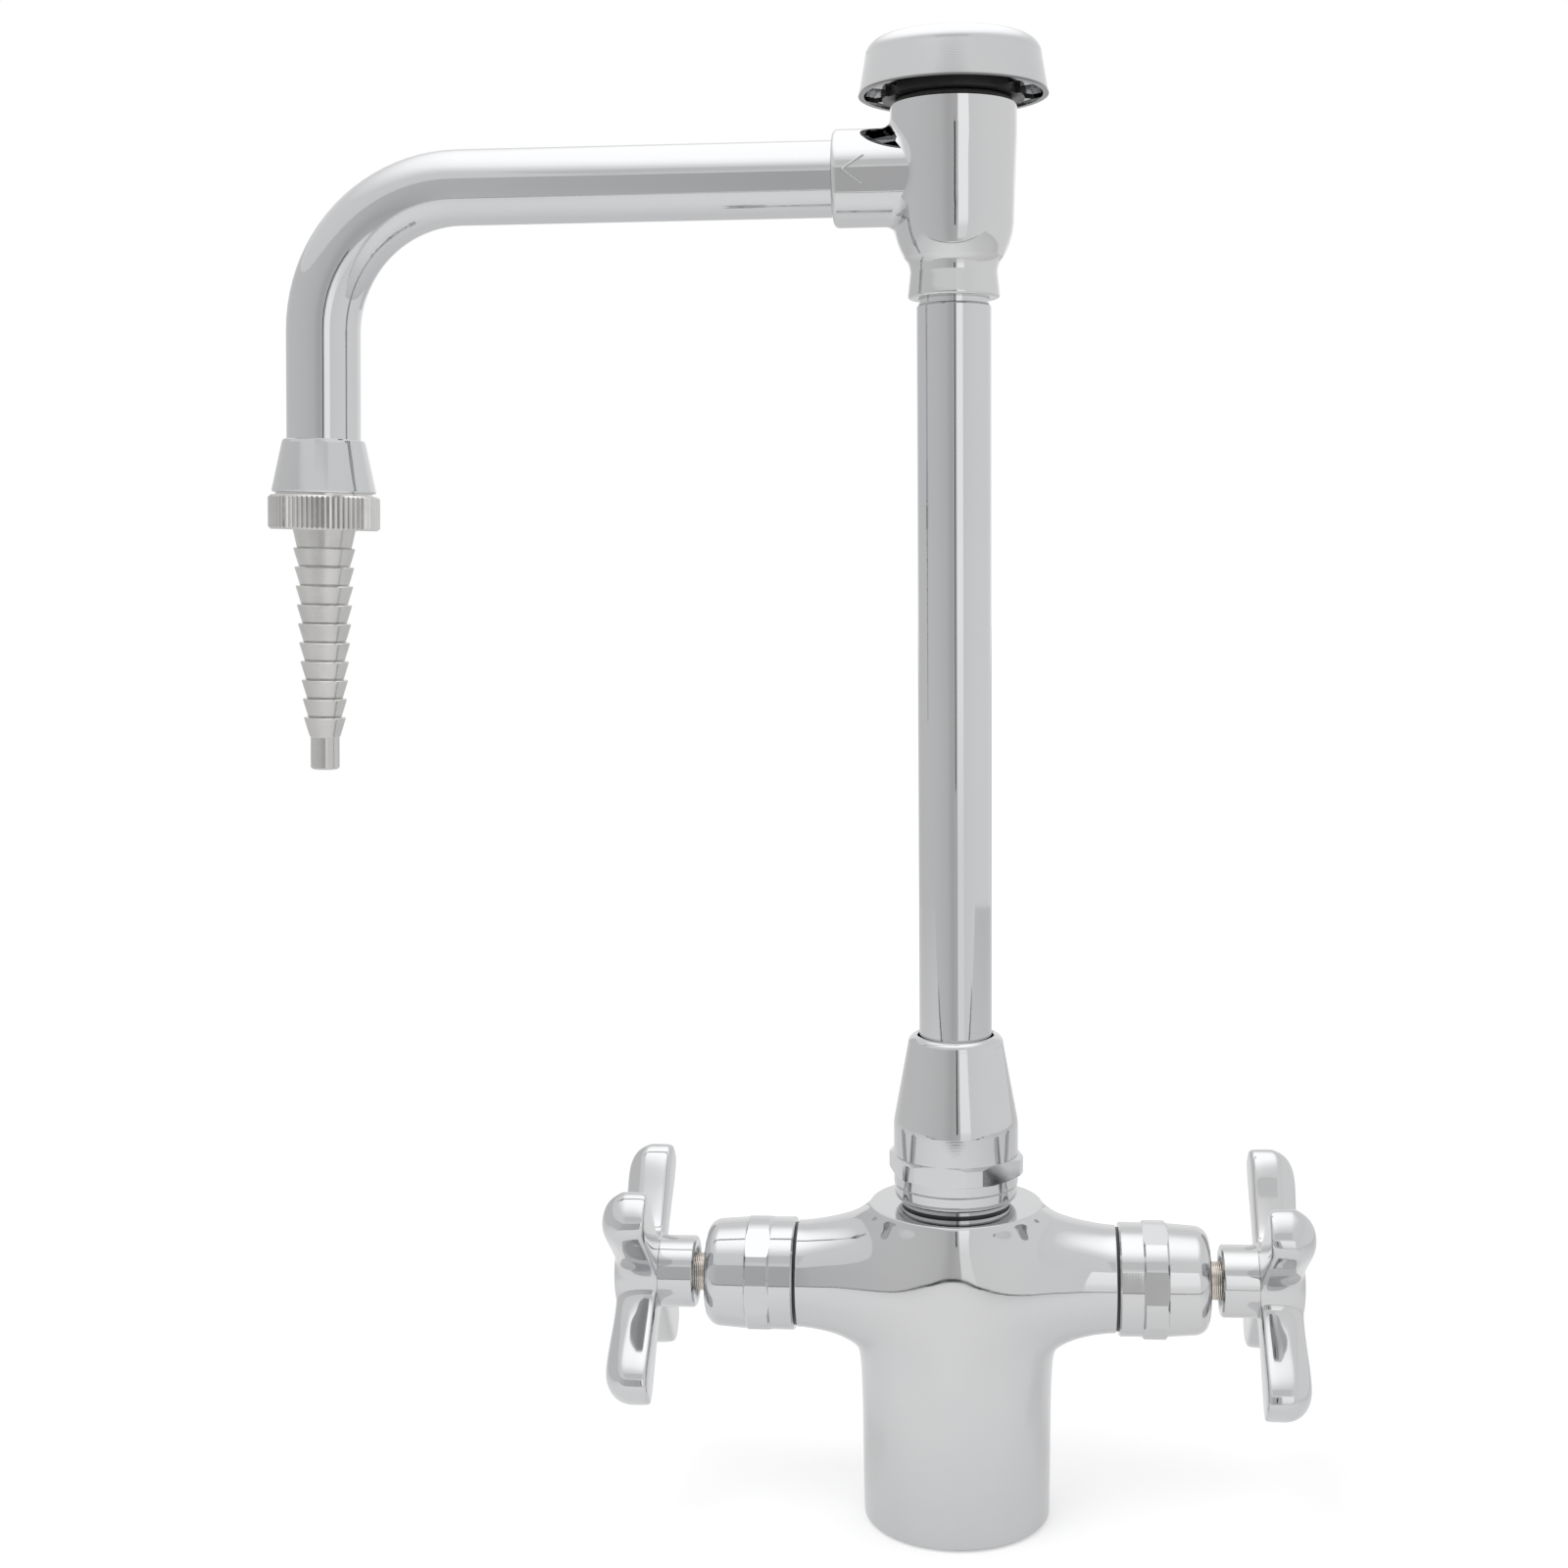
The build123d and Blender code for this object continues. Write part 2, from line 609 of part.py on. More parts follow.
bush_bottom = SOCKET_Z + 1.0
groove_starts = [bush_bottom + 3.0, bush_bottom + 8.5]
with BuildPart() as swivel_bush:
    upright(ring(TUBE_R + FIT, BUSH_R, bush_bottom, ADAPTER_TOP_Z + 0.2))
    upright(ring(TUBE_R + FIT, BUSH_FLANGE_R, ADAPTER_TOP_Z + 0.1, BUSH_TOP_Z))
    for groove in groove_starts:
        with BuildSketch(Plane.XZ) as section:
            with Locations(((GROOVE_R + BUSH_R + 1) / 2, groove + GROOVE_W / 2)):
                Rectangle(BUSH_R + 1 - GROOVE_R, GROOVE_W)
        revolve(section.sketch, axis=Axis.Z, mode=Mode.SUBTRACT)
save(swivel_bush, "swivel_bush")

for ring_name, groove in zip(("lower_swivel_ring", "upper_swivel_ring"), groove_starts):
    with BuildPart() as swivel_ring:
        with BuildSketch(Plane.XZ) as section:
            with Locations(((GROOVE_R + BUSH_R + FIT) / 2, groove + GROOVE_W / 2)):
                Circle((BUSH_R - GROOVE_R) / 2)
        revolve(section.sketch, axis=Axis.Z)
    save(swivel_ring, ring_name)

with BuildPart() as swivel_washer:
    upright(ring(TUBE_R + FIT, BUSH_FLANGE_R - 0.1, BUSH_TOP_Z + FIT, WASHER_TOP_Z))
save(swivel_washer, "swivel_washer")

# Riser: straight tube with a necked, threaded top
with BuildPart() as riser_tube:
    upright([
        (TUBE_R - TUBE_WALL, bush_bottom),
        (TUBE_R, bush_bottom),
        (TUBE_R, RISER_TOP_Z - 0.6),
        (TUBE_R - 0.5, RISER_TOP_Z),
        (RISER_NECK_R, RISER_TOP_Z),
        (RISER_NECK_R, RISER_NECK_END_Z),
        (TUBE_R - TUBE_WALL, RISER_NECK_END_Z),
    ])
save(riser_tube, "riser_tube")

# Vacuum breaker body: foot, waisted shoulder, tall barrel and the branch for the spout
with BuildPart() as breaker_body:
    with BuildSketch(Plane.XZ) as barrel_section:
        with BuildLine():
            Polyline((0, BARREL_TOP_Z), (0, FOOT_Z), (FOOT_R - 0.7, FOOT_Z))
            ThreePointArc((FOOT_R - 0.7, FOOT_Z), (FOOT_R - 0.15, FOOT_Z + 0.25), (FOOT_R, FOOT_Z + 0.8))
            Line((FOOT_R, FOOT_Z + 0.8), (WAIST_R, WAIST_Z))
            ThreePointArc((WAIST_R, WAIST_Z), (WAIST_R + 0.3, WAIST_Z + 1.9), (WAIST_R + 1.3, WAIST_Z + 3.5))
            ThreePointArc((WAIST_R + 1.3, WAIST_Z + 3.5), (13.1, 307.4), (14.0, 313.4))
            Polyline((14.0, 313.4), (BARREL_R, BARREL_TOP_Z - 6), (BARREL_R, BARREL_TOP_Z), (0, BARREL_TOP_Z))
        make_face()
    revolve(barrel_section.sketch, axis=Axis.Z)
    with BuildSketch(Plane(origin=(-COLLAR_END, 0, SPOUT_Z), z_dir=(1, 0, 0))) as collar:
        Circle(COLLAR_R)
    extrude(collar.sketch, amount=COLLAR_END)
    joint_span = (-COLLAR_END + 1, -2)
    not_round = breaker_body.edges().filter_by(GeomType.CIRCLE, reverse=True)
    collar_joint = [e for e in not_round if joint_span[0] < e.center().X < joint_span[1]]
    fillet(collar_joint, 2.2)
    round_edges = breaker_body.edges().filter_by(GeomType.CIRCLE)
    collar_lip = [e for e in round_edges if e.center().X < -COLLAR_END + 0.1]
    fillet(collar_lip, 1.3)
    with BuildSketch(Plane.XZ) as waterway:
        with BuildLine():
            Polyline(
                (0, FOOT_Z - 1),
                (RISER_NECK_R + FIT, FOOT_Z - 1),
                (RISER_NECK_R + FIT, RISER_NECK_END_Z + 0.4),
                (6.5, RISER_NECK_END_Z + 0.4),
                (6.5, BREAKER_SEAT_Z - 5),
                (BREAKER_SEAT_R + FIT, BREAKER_SEAT_Z - 5),
                (BREAKER_SEAT_R + FIT, BREAKER_SEAT_Z - 1),
                (CHAMBER_R, BREAKER_SEAT_Z - 1),
                (CHAMBER_R, BONNET_THREAD_Z),
                (BONNET_R + FIT, BONNET_THREAD_Z),
                (BONNET_R + FIT, BARREL_TOP_Z + 1),
                (0, BARREL_TOP_Z + 1),
                close=True,
            )
        make_face()
    revolve(waterway.sketch, axis=Axis.Z, mode=Mode.SUBTRACT)
    with BuildSketch(Plane(origin=(-COLLAR_END, 0, SPOUT_Z), z_dir=(1, 0, 0))) as socket:
        Circle(TUBE_R + FIT)
    extrude(socket.sketch, amount=COLLAR_END - SPOUT_START, mode=Mode.SUBTRACT)
    with BuildSketch(Plane(origin=(-COLLAR_END, 0, SPOUT_Z), z_dir=(1, 0, 0))) as port:
        Circle(TUBE_R - TUBE_WALL)
    extrude(port.sketch, amount=COLLAR_END, mode=Mode.SUBTRACT)
save(breaker_body, "breaker_body")

with BuildPart() as breaker_seat:
    upright([
        (SEAT_BORE_R, BREAKER_SEAT_Z - 4.95),
        (BREAKER_SEAT_R, BREAKER_SEAT_Z - 4.95),
        (BREAKER_SEAT_R, BREAKER_SEAT_Z - 1),
        (SEAT_BORE_R + 1.6, BREAKER_SEAT_Z - 1),
        (SEAT_BORE_R + 1.3, BREAKER_SEAT_Z),
        (SEAT_BORE_R + 0.2, BREAKER_SEAT_Z),
    ])
save(breaker_seat, "breaker_seat")

poppet_base = BREAKER_SEAT_Z + 1.5
poppet_top = poppet_base + 3.5
with BuildPart() as poppet_seal:
    upright(ring(0, POPPET_R - 0.6, BREAKER_SEAT_Z, poppet_base))
save(poppet_seal, "poppet_seal")

with BuildPart() as poppet:
    upright([
        (0, poppet_base),
        (POPPET_R, poppet_base),
        (POPPET_R, poppet_top - 0.8),
        (POPPET_R - 0.8, poppet_top),
        (2.2, poppet_top),
        (2.2, poppet_top + 1.8),
        (POPPET_STEM_R, poppet_top + 2.6),
        (POPPET_STEM_R, GUIDE_Z[1] + 1.5),
        (0, GUIDE_Z[1] + 1.5),
    ])
save(poppet, "poppet")

with BuildPart() as vent_seal:
    upright(ring(2.25, SEAT_BORE_R + 2.0, poppet_top, poppet_top + 1.5))
save(vent_seal, "vent_seal")

# Black bonnet: threaded plug with a vent through it, a guide on three spokes, a wide flange and
# four stand-offs that carry the cap
with BuildPart() as breaker_bonnet:
    upright([
        (SEAT_BORE_R, VENT_SEAT_Z),
        (SEAT_BORE_R + 1.5, VENT_SEAT_Z),
        (SEAT_BORE_R + 1.5, VENT_SEAT_Z + 0.8),
        (CHAMBER_R - 0.2, VENT_SEAT_Z + 0.8),
        (CHAMBER_R - 0.2, BONNET_THREAD_Z + FIT),
        (BONNET_R, BONNET_THREAD_Z + FIT),
        (BONNET_R, FLANGE_Z[0]),
        (FLANGE_R, FLANGE_Z[0]),
        (FLANGE_R, FLANGE_Z[1] - 1),
        (FLANGE_R - 1, FLANGE_Z[1]),
        (VENT_R, FLANGE_Z[1]),
        (VENT_R, VENT_SEAT_Z + 3.5),
        (SEAT_BORE_R, VENT_SEAT_Z + 3.5),
    ])
    with BuildSketch(Plane.XY.offset(GUIDE_Z[0])) as spider:
        with PolarLocations(VENT_R / 2 + 0.1, 3, start_angle=90):
            Rectangle(VENT_R + 0.2, 2.2)
        Circle(3.6)
        Circle(POPPET_STEM_R + 0.1, mode=Mode.SUBTRACT)
    extrude(spider.sketch, amount=GUIDE_Z[1] - GUIDE_Z[0])
    for angle in TAB_ANGLES:
        with BuildSketch(Plane.XY.offset(FLANGE_Z[0]).rotated((0, 0, angle))) as notch:
            with Locations((FLANGE_R, 0)):
                Rectangle(2 * (FLANGE_R - TAB_R + 0.2), TAB_W + 0.6)
        extrude(notch.sketch, amount=TAB_Z[1] + FIT - FLANGE_Z[0], mode=Mode.SUBTRACT)
    with BuildSketch(Plane.XY.offset(FLANGE_Z[1] - 1)) as standoffs:
        with PolarLocations(STANDOFF_R, 4):
            Rectangle(3.6, 2.4)
    extrude(standoffs.sketch, amount=STANDOFF_TOP_Z - FLANGE_Z[1] + 1)
save(breaker_bonnet, "breaker_bonnet")

with BuildPart() as bonnet_ring:
    with BuildSketch(Plane.XZ) as section:
        with Locations((BONNET_R + 0.1 + 0.78, BARREL_TOP_Z + 0.8)):
            Circle(0.78)
    revolve(section.sketch, axis=Axis.Z)
save(bonnet_ring, "bonnet_ring")

# Hollow cap: thin spun shell, held by four small tabs turned in under the bonnet's flange
with BuildPart() as breaker_cap:
    with BuildSketch(Plane.XZ) as shell_section:
        with BuildLine():
            Line((CAP_RIM_R - CAP_WALL, CAP_RIM_Z), (CAP_RIM_R, CAP_RIM_Z))
            Line((CAP_RIM_R, CAP_RIM_Z), (20.4, 348.9))
            ThreePointArc((20.4, 348.9), (19.35, 351.5), (16.6, 352.75))
            TangentArc((0, CAP_TOP_Z), (16.6, 352.75), tangent=(1, 0))
            Line((0, CAP_TOP_Z), (0, CAP_TOP_Z - CAP_WALL))
            TangentArc((0, CAP_TOP_Z - CAP_WALL), (15.9, 351.5), tangent=(1, 0))
            ThreePointArc((15.9, 351.5), (18.25, 350.55), (19.12, 348.6))
            Line((19.12, 348.6), (CAP_RIM_R - CAP_WALL, CAP_RIM_Z))
        make_face()
    revolve(shell_section.sketch, axis=Axis.Z)
    for angle in TAB_ANGLES:
        with BuildSketch(Plane.XY.offset(TAB_Z[0]).rotated((0, 0, angle))) as tab:
            with Locations(((TAB_R + CAP_RIM_R - 0.8) / 2, 0)):
                Rectangle(CAP_RIM_R - 0.8 - TAB_R, TAB_W)
        extrude(tab.sketch, amount=TAB_Z[1] - TAB_Z[0])
save(breaker_cap, "breaker_cap")

# Spout: one bent tube from the branch to the outlet cone
with BuildPart() as spout_tube:
    with BuildLine() as spout_path:
        start = Vector(-SPOUT_START - FIT, 0, SPOUT_Z)
        end = drop_start + drop_dir * DROP
        FilletPolyline(start, drop_start, end, radius=BEND_R)
    with BuildSketch(Plane(origin=start, z_dir=(-1, 0, 0))) as wall:
        Circle(TUBE_R)
        Circle(TUBE_R - TUBE_WALL, mode=Mode.SUBTRACT)
    sweep(wall.sketch, path=spout_path.line)
save(spout_tube, "spout_tube")

with BuildPart() as outlet_adapter:
    down_the_drop([
        (TUBE_R + FIT, CONE_TOP),
        (TUBE_R + 0.5, CONE_TOP),
        (TUBE_R + 0.95, CONE_TOP + 0.3),
        (TUBE_R + 1.15, CONE_TOP + 0.9),
        (CONE_BOTTOM_R, CONE_BOTTOM - 0.5),
        (CONE_BOTTOM_R - 0.2, CONE_BOTTOM),
        (THREAD_R + FIT, CONE_BOTTOM),
        (THREAD_R + FIT, DROP + 1.2),
        (7.0, DROP + 1.2),
        (7.0, DROP + 0.2),
        (TUBE_R + FIT, DROP + 0.2),
    ])
save(outlet_adapter, "outlet_adapter")

with BuildPart() as outlet_washer:
    down_the_drop(ring(4.0, THREAD_R - 0.1, DROP + 1.25, DROP + 2.4))
save(outlet_washer, "outlet_washer")

# Hose end: thread, knurled collar and ten barbs that shrink towards a plain pipe
with BuildPart() as hose_end:
    outline = [
        (TIP_BORE_R, DROP + 2.45),
        (THREAD_R, DROP + 2.45),
        (THREAD_R, CONE_BOTTOM + FIT),
        (CONE_BOTTOM_R - 0.8, CONE_BOTTOM + FIT),
        (CONE_BOTTOM_R - 0.8, COLLAR_TOP),
        (KNURL_R - 0.6, COLLAR_TOP),
        (KNURL_R, COLLAR_TOP + 0.6),
        (KNURL_R, COLLAR_BOTTOM - 0.6),
        (KNURL_R - 0.6, COLLAR_BOTTOM),
        (BARB_R[0] + 0.1, COLLAR_BOTTOM),
        (BARB_R[0] - 0.85, BARB_TOP),
    ]
    for barb in range(BARBS):
        top = BARB_TOP + barb * BARB_PITCH
        rim = BARB_R[0] + (BARB_R[1] - BARB_R[0]) * barb / (BARBS - 1)
        outline += [(rim - 0.15, top), (rim, top + 0.2), (rim - 1.3, top + BARB_PITCH)]
    outline += [
        (PIPE_R, BARB_TOP + BARBS * BARB_PITCH + 0.3),
        (PIPE_R, TIP_END - 0.4),
        (PIPE_R - 0.4, TIP_END),
        (TIP_BORE_R, TIP_END),
    ]
    down_the_drop(outline)
    with BuildSketch(drop_plane.offset(COLLAR_TOP - 0.1)) as grooves:
        with PolarLocations(KNURL_R, KNURLS):
            Rectangle(0.55, 0.55, rotation=45)
    extrude(grooves.sketch, amount=COLLAR_BOTTOM - COLLAR_TOP + 0.2, mode=Mode.SUBTRACT)
save(hose_end, "hose_end")
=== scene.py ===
from math import atan2, cos, degrees, pi, radians, sin, sqrt

import bmesh
import bpy
from mathutils import Matrix, Vector


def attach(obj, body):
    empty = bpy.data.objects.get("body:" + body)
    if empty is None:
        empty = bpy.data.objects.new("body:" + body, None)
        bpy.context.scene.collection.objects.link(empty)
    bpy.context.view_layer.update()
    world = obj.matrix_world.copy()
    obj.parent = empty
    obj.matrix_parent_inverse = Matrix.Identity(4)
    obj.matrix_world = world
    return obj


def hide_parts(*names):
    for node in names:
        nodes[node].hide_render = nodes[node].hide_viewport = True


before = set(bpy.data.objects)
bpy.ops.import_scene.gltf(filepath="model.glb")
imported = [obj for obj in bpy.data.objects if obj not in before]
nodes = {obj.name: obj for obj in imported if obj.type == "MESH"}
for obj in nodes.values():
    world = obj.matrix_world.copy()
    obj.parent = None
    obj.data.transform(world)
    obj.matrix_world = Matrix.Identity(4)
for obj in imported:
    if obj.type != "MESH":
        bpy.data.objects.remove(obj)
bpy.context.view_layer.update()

# Sizes of pieces and depths of relief are in millimetres, those of the room in metres
MM = 0.001
VALVE_Z = 59.7
SPOUT_Z = 322.4


# Camera
PHOTO_PX = 1600
FOCAL_PX = 2138.8
CENTRE_PX = (849.74, 800.72)
SENSOR_MM = 36
CAMERA_AT = (0.01077, -0.49809, 0.23626)
CAMERA_PITCH, CAMERA_YAW, CAMERA_ROLL = radians(-6.329), radians(-4.597), radians(-0.509)


def place_camera():
    """The photograph's viewpoint: half a metre in front, higher than the swivel, below the spout."""
    level_share = cos(CAMERA_PITCH)
    ahead = Vector((sin(CAMERA_YAW) * level_share, cos(CAMERA_YAW) * level_share, sin(CAMERA_PITCH)))
    level = Vector((cos(CAMERA_YAW), -sin(CAMERA_YAW), 0))
    above = level.cross(ahead)
    right = cos(CAMERA_ROLL) * level + sin(CAMERA_ROLL) * above
    up = -sin(CAMERA_ROLL) * level + cos(CAMERA_ROLL) * above
    camera = bpy.data.objects.new("camera", bpy.data.cameras.new("camera"))
    camera.data.sensor_width = SENSOR_MM
    camera.data.lens = FOCAL_PX / PHOTO_PX * SENSOR_MM
    camera.data.shift_x = (PHOTO_PX / 2 - CENTRE_PX[0]) / PHOTO_PX
    camera.data.shift_y = (CENTRE_PX[1] - PHOTO_PX / 2) / PHOTO_PX
    axes = Matrix((right, up, -ahead)).transposed().to_4x4()
    camera.matrix_world = Matrix.Translation(CAMERA_AT) @ axes
    bpy.context.scene.collection.objects.link(camera)
    bpy.context.scene.camera = camera


# Finishes
CHROME = (0.602, 0.604, 0.609)
CHROME_COOL = (0.582, 0.588, 0.600)
NICKEL, NICKEL_DARK = (0.60, 0.595, 0.585), (0.54, 0.535, 0.525)
BARE_NICKEL, BARE_NICKEL_DARK = (0.60, 0.55, 0.50), (0.54, 0.49, 0.44)
BRASS, BRASS_DARK = (0.60, 0.43, 0.17), (0.50, 0.35, 0.13)
# How far the spout's drop leans out, and the hose end's turning marks with it
DROP_LEAN = radians(1.86)
# Painted shade on the cap's rim, in place of a dark reflection: the cap's chrome fades to this share of
# its brightness between these two heights
CAP_RIM_LOW, CAP_RIM_HIGH, CAP_RIM_PAINTED_SHADE = 340.8, 341.2, 0.30
# The parts of a pattern's range over which it moves the gloss and the colour
GLOSS_FROM, GLOSS_TO = 0.3, 0.7
TINT_FROM, TINT_TO = 0.35, 0.65


class Finish:
    """A node material with a Principled shader, and the few patterns that metal and rubber need."""

    def __init__(self, name, colour, metallic, roughness):
        self.material = bpy.data.materials.new(name)
        self.material.use_nodes = True
        self.tree = self.material.node_tree
        self.shader = self.tree.nodes["Principled BSDF"]
        self.shader.inputs["Base Color"].default_value = (*colour, 1)
        self.shader.inputs["Metallic"].default_value = metallic
        self.shader.inputs["Roughness"].default_value = roughness
        self.colour = colour
        self.bumps = None

    def node(self, kind, **values):
        """Add a node; each value sets the socket of that name, or else the node's own setting."""
        made = self.tree.nodes.new(kind)
        for key, value in values.items():
            if key in made.inputs:
                made.inputs[key].default_value = value
            else:
                setattr(made, key, value)
        return made

    def place(self, stretch=(1, 1, 1), turn=(0, 0, 0)):
        """Object coordinates, turned and stretched for one pattern."""
        where = self.node("ShaderNodeTexCoord")
        mapping = self.node("ShaderNodeMapping", Scale=stretch, Rotation=turn)
        self.tree.links.new(where.outputs["Object"], mapping.inputs["Vector"])
        return mapping.outputs["Vector"]

    def noise(self, scale, detail, stretch=(1, 1, 1)):
        """Soft clouds of one size."""
        made = self.node("ShaderNodeTexNoise", Scale=scale, Detail=detail)
        self.tree.links.new(self.place(stretch), made.inputs["Vector"])
        return made.outputs["Fac"]

    def rings(self, along, scale, wander, turn=(0, 0, 0)):
        """Bands across one axis, as a lathe tool leaves them."""
        made = self.node("ShaderNodeTexWave", bands_direction=along, Scale=scale, Distortion=wander)
        made.inputs["Detail"].default_value = 3.0
        made.inputs["Detail Scale"].default_value = 1.4
        self.tree.links.new(self.place(turn=turn), made.inputs["Vector"])
        return made.outputs["Fac"]

    def spread(self, source, low, high, from_low, from_high):
        """Bring a measure from one range to another, and hold it at the ends."""
        made = self.node("ShaderNodeMapRange")
        ends = {"From Min": from_low, "From Max": from_high, "To Min": low, "To Max": high}
        for name, value in ends.items():
            made.inputs[name].default_value = value
        self.tree.links.new(source, made.inputs["Value"])
        return made.outputs["Result"]

    def vary_gloss(self, pattern, low, high):
        """Let a pattern move the roughness between two values."""
        gloss = self.spread(pattern, low, high, GLOSS_FROM, GLOSS_TO)
        self.tree.links.new(gloss, self.shader.inputs["Roughness"])

    def tint(self, pattern, other):
        """Blend the base colour towards another one by a pattern."""
        ramp = self.node("ShaderNodeValToRGB")
        ends = ramp.color_ramp.elements
        for end, position, colour in zip(ends, (TINT_FROM, TINT_TO), (self.colour, other)):
            end.position = position
            end.color = (*colour, 1)
        self.tree.links.new(pattern, ramp.inputs["Fac"])
        self.tree.links.new(ramp.outputs["Color"], self.shader.inputs["Base Color"])

    def paint_shade_below(self, low, high, shade):
        """Paint shade into the base colour: fade it to a darker shade, from the high height down to the
        low one.
        """
        split = self.node("ShaderNodeSeparateXYZ")
        darker = self.node("ShaderNodeVectorMath", operation="SCALE")
        plain = self.shader.inputs["Base Color"].links[0].from_socket
        self.tree.links.new(self.place(), split.inputs["Vector"])
        self.tree.links.new(plain, darker.inputs["Vector"])
        fade = self.spread(split.outputs["Z"], shade, 1, low * MM, high * MM)
        self.tree.links.new(fade, darker.inputs["Scale"])
        self.tree.links.new(darker.outputs["Vector"], self.shader.inputs["Base Color"])

    def relief(self, pattern, depth):
        """Raise the surface by a pattern, on top of any relief before it."""
        bump = self.node("ShaderNodeBump", Distance=depth * MM)
        self.tree.links.new(pattern, bump.inputs["Height"])
        if self.bumps:
            self.tree.links.new(self.bumps, bump.inputs["Normal"])
        self.bumps = bump.outputs["Normal"]
        self.tree.links.new(self.bumps, self.shader.inputs["Normal"])


def cast_chrome():
    """Polished and plated castings: bright, with the slow waviness that hand polishing leaves."""
    finish = Finish("cast_chrome", CHROME, 1.0, 0.05)
    finish.tint(finish.noise(22, 3), CHROME_COOL)
    finish.vary_gloss(finish.noise(140, 4), 0.035, 0.075)
    finish.relief(finish.noise(55, 1.5), 0.16)
    finish.relief(finish.noise(900, 3), 0.0012)
    return finish.material


def drawn_chrome():
    """Plated tube: the smoothest surface, with faint draw lines along it."""
    finish = Finish("drawn_chrome", CHROME, 1.0, 0.04)
    finish.tint(finish.noise(14, 2), CHROME_COOL)
    finish.vary_gloss(finish.noise(260, 3, stretch=(1, 1, 0.08)), 0.028, 0.055)
    finish.relief(finish.noise(30, 1), 0.06)
    return finish.material


def turned_finish(name, along):
    """Plated turned pieces: nuts, cone and cap, with a trace of lathe rings under the plating."""
    finish = Finish(name, CHROME, 1.0, 0.05)
    finish.tint(finish.noise(26, 2), CHROME_COOL)
    finish.vary_gloss(finish.noise(180, 4), 0.035, 0.08)
    finish.relief(finish.rings(along, 900, 2.0), 0.0008)
    finish.relief(finish.noise(70, 1.5), 0.05)
    return finish


def cap_chrome_painted_rim_shade():
    """The spun cap: turned chrome with painted shade on its thin rim, in place of the dark reflection
    there.
    """
    finish = turned_finish("cap_chrome_painted_rim_shade", "Z")
    # Painted shade: the rim's colour darkens towards its lower edge
    finish.paint_shade_below(CAP_RIM_LOW, CAP_RIM_HIGH, CAP_RIM_PAINTED_SHADE)
    return finish.material


def dull_nickel():
    """The hose end and the screws: tumbled nickel, matt, with turning marks round it."""
    finish = Finish("dull_nickel", NICKEL, 1.0, 0.2)
    finish.tint(finish.noise(90, 4), NICKEL_DARK)
    finish.vary_gloss(finish.noise(420, 5), 0.13, 0.24)
    finish.relief(finish.rings("Z", 1400, 3.0, turn=(0, DROP_LEAN, 0)), 0.0015)
    return finish.material


def spindle_nickel():
    """The spindles: warmer bare nickel with clear turning rings."""
    finish = Finish("spindle_nickel", BARE_NICKEL, 1.0, 0.2)
    finish.tint(finish.noise(150, 3), BARE_NICKEL_DARK)
    finish.vary_gloss(finish.noise(500, 4), 0.14, 0.26)
    finish.relief(finish.rings("X", 700, 1.0), 0.03)
    return finish.material


def plain_brass():
    """The brass pieces inside: machined, a little uneven in colour."""
    finish = Finish("plain_brass", BRASS, 1.0, 0.28)
    finish.tint(finish.noise(120, 4), BRASS_DARK)
    finish.vary_gloss(finish.noise(350, 4), 0.2, 0.4)
    finish.relief(finish.noise(900, 4), 0.008)
    return finish.material


def moulded(name, colour, other, gloss, grain=1100, depth=0.012):
    """Plastic, rubber, fibre and enamel: a fine moulded grain with uneven gloss."""
    finish = Finish(name, colour, 0.0, sum(gloss) / 2)
    finish.tint(finish.noise(130, 4), other)
    finish.vary_gloss(finish.noise(300, 4), *gloss)
    finish.relief(finish.noise(grain, 4), depth)
    return finish.material


def enamel(name, colour, other):
    """The buttons' enamel: smoother and glossier than the other moulded pieces."""
    return moulded(name, colour, other, (0.12, 0.22), grain=400, depth=0.006)


